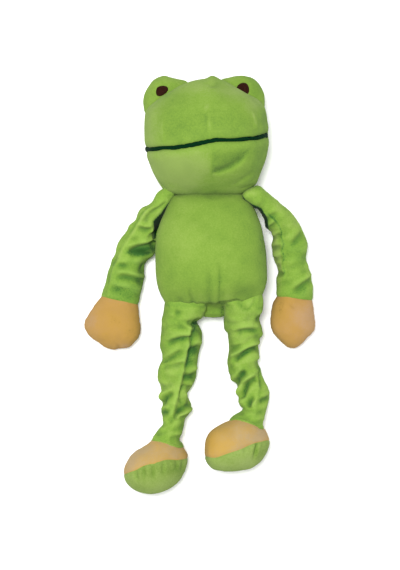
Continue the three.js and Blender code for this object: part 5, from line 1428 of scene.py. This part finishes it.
# ------------------------------------------------------------------ feet
FEET = {
    "right": dict(c=[156.8, 467.0, 26.5], dir=[-62, 15.5], r=[33.5, 23.5, 24.5],
                  outline=[[152, 440.6], [145, 445.4], [137.5, 449.6], [131.5, 454.6], [127, 461], [124.6, 467.5], [124.1, 473], [125.6, 480], [129.6, 486], [135, 490], [142, 493], [150, 494.3], [157, 493.5], [164, 491.5], [172, 487.5], [178.5, 482], [183.5, 475],
                           [187.5, 467], [189.6, 460.5], [189.8, 456], [187.5, 450.5], [184, 446.2], [180, 440], [168, 436], [158, 436.5]],
                  seam=[[118, 476.5], [125.5, 473.5], [131, 471.4], [136.5, 469.8], [141, 466.8], [147, 464.2], [155, 463], [160, 461.6], [166, 459.2], [171, 459], [177, 459.8], [184, 459], [189.5, 457.6], [196, 456]],
                  ankle=[[145, 439], [152, 440.5], [158, 442.2], [165, 444.2], [172, 446.2], [180, 447.6], [190, 448]],
                  pleats=[([[135.5, 469.5], [138.4, 482]], 1.8), ([[143.2, 465], [145.4, 482]], 2.2), ([[152.6, 462.5], [154.4, 482]], 2.4), ([[158, 462], [158.4, 474]], 1.0), ([[163.8, 460], [163.2, 476]], 2.0), ([[169, 459.5], [168.6, 467]], 0.9), ([[177.6, 460], [176.6, 470]], 1.1), ([[183.6, 459.5], [181.2, 473]], 1.6), ([[130.6, 472], [132.5, 478]], 0.7)],
                  nap=[(130, 459, 5, 14, 0.9), (140, 449, 9, 5, 0.8), (156, 455, 14, 5, -0.1), (178, 452, 6, 5, 0.5), (186, 452, 4, 6, -0.6), (150, 448, 8, 4, 0.2)],
                  sole_nap=[(181, 468, 7, 10, -0.8), (163, 470, 16, 6, -0.3), (144, 482, 14, 8, 0.2), (186, 480, 6, 10, -0.3), (139, 474, 2.6, 6, -0.4), (145, 474, 2, 7, -0.5), (154, 472, 2, 8, -0.5)]),
    "left": dict(c=[237.9, 445.4, 26.5], dir=[-62, 18], r=[34, 23, 24.5],
                 outline=[[229.6, 420.6], [222, 423.6], [214, 427.6], [209, 432.5], [206, 439], [204.4, 447], [203.8, 453], [204.9, 460], [208.5, 465.4], [214, 469.2], [221, 470.6], [229, 471.5], [237, 471], [246, 469.6], [252, 468.2], [258.4, 464], [263.8, 458.6],
                          [267.8, 451.8], [269.8, 445.6], [270.6, 441.5], [269, 437], [267, 431.8], [263.8, 427.5], [258, 420], [245, 415.5], [236, 416.5]],
                 seam=[[198, 455], [204, 456], [210, 457.4], [216, 457.8], [222, 455.6], [229, 453], [237, 450.6], [243, 448.4], [250, 445], [256, 442.6], [262, 441.4], [267, 440], [271, 440], [278, 440]],
                 ankle=[[222, 419.6], [229.5, 420.5], [235, 421], [242, 423.2], [248, 424], [253, 424.8], [258, 426.6], [264, 428.4], [270, 431]],
                 pleats=[([[258.4, 441.5], [256.6, 448], [254.8, 455], [253.2, 461]], 3.2), ([[244.8, 447.6], [245.6, 454]], 1.6), ([[263.5, 440.5], [262.6, 448]], 0.9), ([[232, 452], [232.3, 457]], 0.6), ([[219, 456.5], [220, 461]], 0.5), ([[250, 445], [249.6, 450]], 0.7)],
                 nap=[(210, 443, 8, 14, -1.0), (222, 447, 10, 6, -0.7), (225, 432, 10, 6, -0.4), (240, 430, 16, 6, 0.1), (262, 434, 6, 8, 1.0), (250, 439, 9, 4, 0.5), (232, 441, 12, 6, -0.2)],
                 sole_nap=[(262, 452, 7, 8, -0.6), (256, 450, 2.4, 8, -0.9), (246, 461, 10, 6, 0.6), (220, 462, 12, 6, 0.2), (266, 460, 6, 8, 0.3)]),
}
LIFT = math.radians(35)
for side in ("right", "left"):
    f = FEET[side]
    c0 = G(*f["c"])
    al = np.array([f["dir"][0], -f["dir"][1], 0.0])
    al /= np.linalg.norm(al)
    e1 = al * math.cos(LIFT) + np.array([0, 0, math.sin(LIFT)])
    e2 = np.array([-al[1], al[0], 0.0])
    e2 = e2 * np.sign(e2[1])
    e3 = np.cross(e1, e2)
    n, m = 128, 66
    th = np.linspace(0.004, np.pi - 0.004, m)
    phi = np.linspace(0, 2 * np.pi, n, endpoint=False)

    def ball(T, PHI):
        sr = np.sin(T)
        return c0 + (np.cos(PHI) * f["r"][0] * sr)[..., None] * e1 + (np.sin(PHI) * f["r"][2] * sr)[..., None] * e3 + (np.cos(T) * f["r"][1])[..., None] * e2

    T2, PH = np.meshgrid(th, phi, indexing="ij")
    sk = Skin(ball(T2, PH))
    warp_to(sk, f["c"][:2], f["outline"])
    # slide the rings so that the middle one lies on the seam where the view shows it
    UV = grid_of(sk.P)
    gap = UV[..., 1] - np.interp(UV[..., 0], [p[0] for p in f["seam"]], [p[1] for p in f["seam"]])
    nz0 = sk.normals()[..., 2]
    at = np.full(n, (m - 1) / 2.0)
    for j in range(n):
        col_ = gap[:, j]
        zc = [i for i in range(m // 5, m - m // 5) if col_[i] * col_[i + 1] <= 0 and nz0[i, j] > -0.12]
        if zc:
            i = min(zc, key=lambda q: abs(q - m / 2))
            at[j] = i + col_[i] / (col_[i] - col_[i + 1] + 1e-12)
    seen = nz0[m // 2] > -0.05
    at = np.where(seen, at, np.nan)
    idx = np.arange(n)
    ok = ~np.isnan(at)
    at = np.interp(idx, np.concatenate([idx[ok] - n, idx[ok], idx[ok] + n]), np.concatenate([at[ok]] * 3))
    for _ in range(3):
        at = (np.roll(at, 1) + np.roll(at, -1) + 2 * at) / 4
    mid = m // 2
    newP = np.empty_like(sk.P)
    for j in range(n):
        src = np.interp(np.arange(m), [0, mid, m - 1], [0, at[j], m - 1])
        for k in range(3):
            newP[:, j, k] = np.interp(src, np.arange(m), sk.P[:, j, k])
    sk.P = newP
    base_ = sk.P.copy()
    sk.push(0.4 * noise(sk.P, 14, 101 if side == "right" else 103) + 0.18 * noise(sk.P, 5, 105), False)
    UV, nz = grid_of(sk.P), sk.normals()[..., 2]
    d = np.zeros(nz.shape)
    for pts_, dep in f["pleats"]:
        d += crease(UV, nz, pts_, dep * 0.75, 1.2 if dep > 3 else 1.6, 0.4, (0.0, 0.5)) * smooth(-0.5, 2.5, np.arange(m)[:, None] - mid)
    eq = np.abs(np.arange(m)[:, None] - mid) * 1.0
    d += -0.55 * np.exp(-((eq / 0.9) ** 2)) + 0.22 * np.sin(phi * 26 + 2 * np.sin(phi * 3))[None] * np.exp(-eq / 3.0) * smooth(0.2, -0.3, nz)
    sk.push(d)
    puff(sk, (eq < 0.6) & (nz < 9), along=1.03, across=1.035, pressure=2.2, frames=12, bend=0.7, cap=1.2)
    sk.rest_on()
    sk.fold = hollow(sk, base_, 18)
    room(sk, (-10.2, -156, 19) if side == "right" else (4.2, -151.5, 39), (7, 9, 9), 0.95)
    UVf = grid_of(sk.P)
    # pile lie on the foot with painted light and shade, the sole from its own table
    nap = 0.3 + nap_shading_at(UVf, sk.P, f["nap"], 251, 0.3)
    nap[mid:] = nap_shading_at(UVf, sk.P, f["sole_nap"], 253, 0.3)[mid:]
    nap = nap.reshape(-1)
    V, F, fold = grid_mesh(sk)
    N = vertex_normals(V, F)
    ring = np.arange(len(F)) // n
    for name, sel, node, mat_, slot in (("_foot_upper_cover", ring < mid, "_foot_upper", "foot", "tan_plush"), ("_foot_sole_cover", ring >= mid, "_foot_sole", "sole", "sole_plush")):
        ob = emit(side + name, V, F, mat_, N, fold, sel, nap)
        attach(ob, side + "_foot")
        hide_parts(side + node)
    stuffing(side + "_foot_stuffing", sk, lambda o, s_=side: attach(o, s_ + "_foot"), side + "_foot_filling", every=(3, 4))
    foot_tree = BVHTree.FromPolygons([Vector(p_) for p_ in V.tolist()], F.tolist())

    # leg: its last rings close round the foot along the ankle seam
    leg = loft(LEG[side], 2.15, 104, 1.2, 0.0, 4.0, 0.0, 1.0)
    fold_skin(side + "_leg", leg, 61 if side == "right" else 71, 1.1)
    P = leg.P
    for i in range(len(leg.S)):
        if leg.L - leg.S[i] > 16:
            continue
        for j in range(P.shape[1]):
            p = Vector(P[i, j])
            co, no, _, dist = foot_tree.find_nearest(p)
            if co is None:
                continue
            uv = grid_of(P[i, j])
            under = uv[1] - np.interp(uv[0], [q[0] for q in f["ankle"]], [q[1] for q in f["ankle"]])
            same = (p - co).dot(no) < 0
            if under < 0 and (same or dist < 0.7):
                P[i, j] = np.array(co + no * 0.7)
            elif under >= 0 and not (same and dist > 1.0):
                P[i, j] = np.array(co - no * (1.0 + min(under, 3)))
    leg.P = P
    S1, S2, E, W = (nearest_s(leg, JOINT[f"{side}_{j}"]) for j in ("hip_swing", "hip_spread", "knee", "ankle"))
    print("leg", side, [round(x, 1) for x in (S1, S2, E, W, leg.L)])
    split_sleeve(side, "leg", leg, (S1, S2, E, W), [(S1 - 8, S1 + 6), (S2 - 6, S2 + 8), (E - 11, E + 11), (W - 9, W + 2)],
                 [("torso", side + "_hip"), (side + "_hip", side + "_thigh"), (side + "_thigh", side + "_shin"), (side + "_shin", side + "_foot")],
                 ["hip", "thigh", "knee", "shin"], [f"{side}_hip_sleeve", f"{side}_thigh_sleeve", f"{side}_shin_sleeve", None],
                 limb_nap_shading(side + "_leg", leg, 235))

# ------------------------------------------------------------------ pieces that keep their CAD shape
for name, ob in ((o.name, o) for o in list(bpy.data.objects)):
    if ob.type == "MESH" and ("filling" in name or "elastic" in name):
        mat_ = MATS["filling" if "filling" in name else "elastic"]
        for s in ob.material_slots:
            s.material = mat_
        if not ob.material_slots:
            ob.data.materials.append(mat_)

# ------------------------------------------------------------------ floor and light
bpy.ops.mesh.primitive_plane_add(size=30, location=(0, 0, 0))
floor = bpy.context.object
floor.name = "floor"
fm, nt, bs = nodes_of("floor")
bs.inputs["Base Color"].default_value = (0.97, 0.97, 0.97, 1)
bs.inputs["Roughness"].default_value = 1.0
bs.inputs["Specular IOR Level"].default_value = 0.0
floor.data.materials.append(fm)

world = bpy.data.worlds.new("world")
bpy.context.scene.world = world
world.use_nodes = True
world.node_tree.nodes["Background"].inputs[0].default_value = (1, 1, 1, 1)
world.node_tree.nodes["Background"].inputs[1].default_value = 0.625


def area(name, loc, size, power, target=(0, 0, 0.03)):
    l = bpy.data.lights.new(name, "AREA")
    l.shape = "DISK"
    l.size = size
    l.energy = power
    o = bpy.data.objects.new(name, l)
    bpy.context.scene.collection.objects.link(o)
    o.location = loc
    o.rotation_euler = (Vector(target) - Vector(loc)).to_track_quat("-Z", "Y").to_euler()
    return o


area("key", (-0.17, 0.2, 1.65), 0.5, 31)
area("fill", (0.25, -0.2, 1.65), 1.4, 6.5)
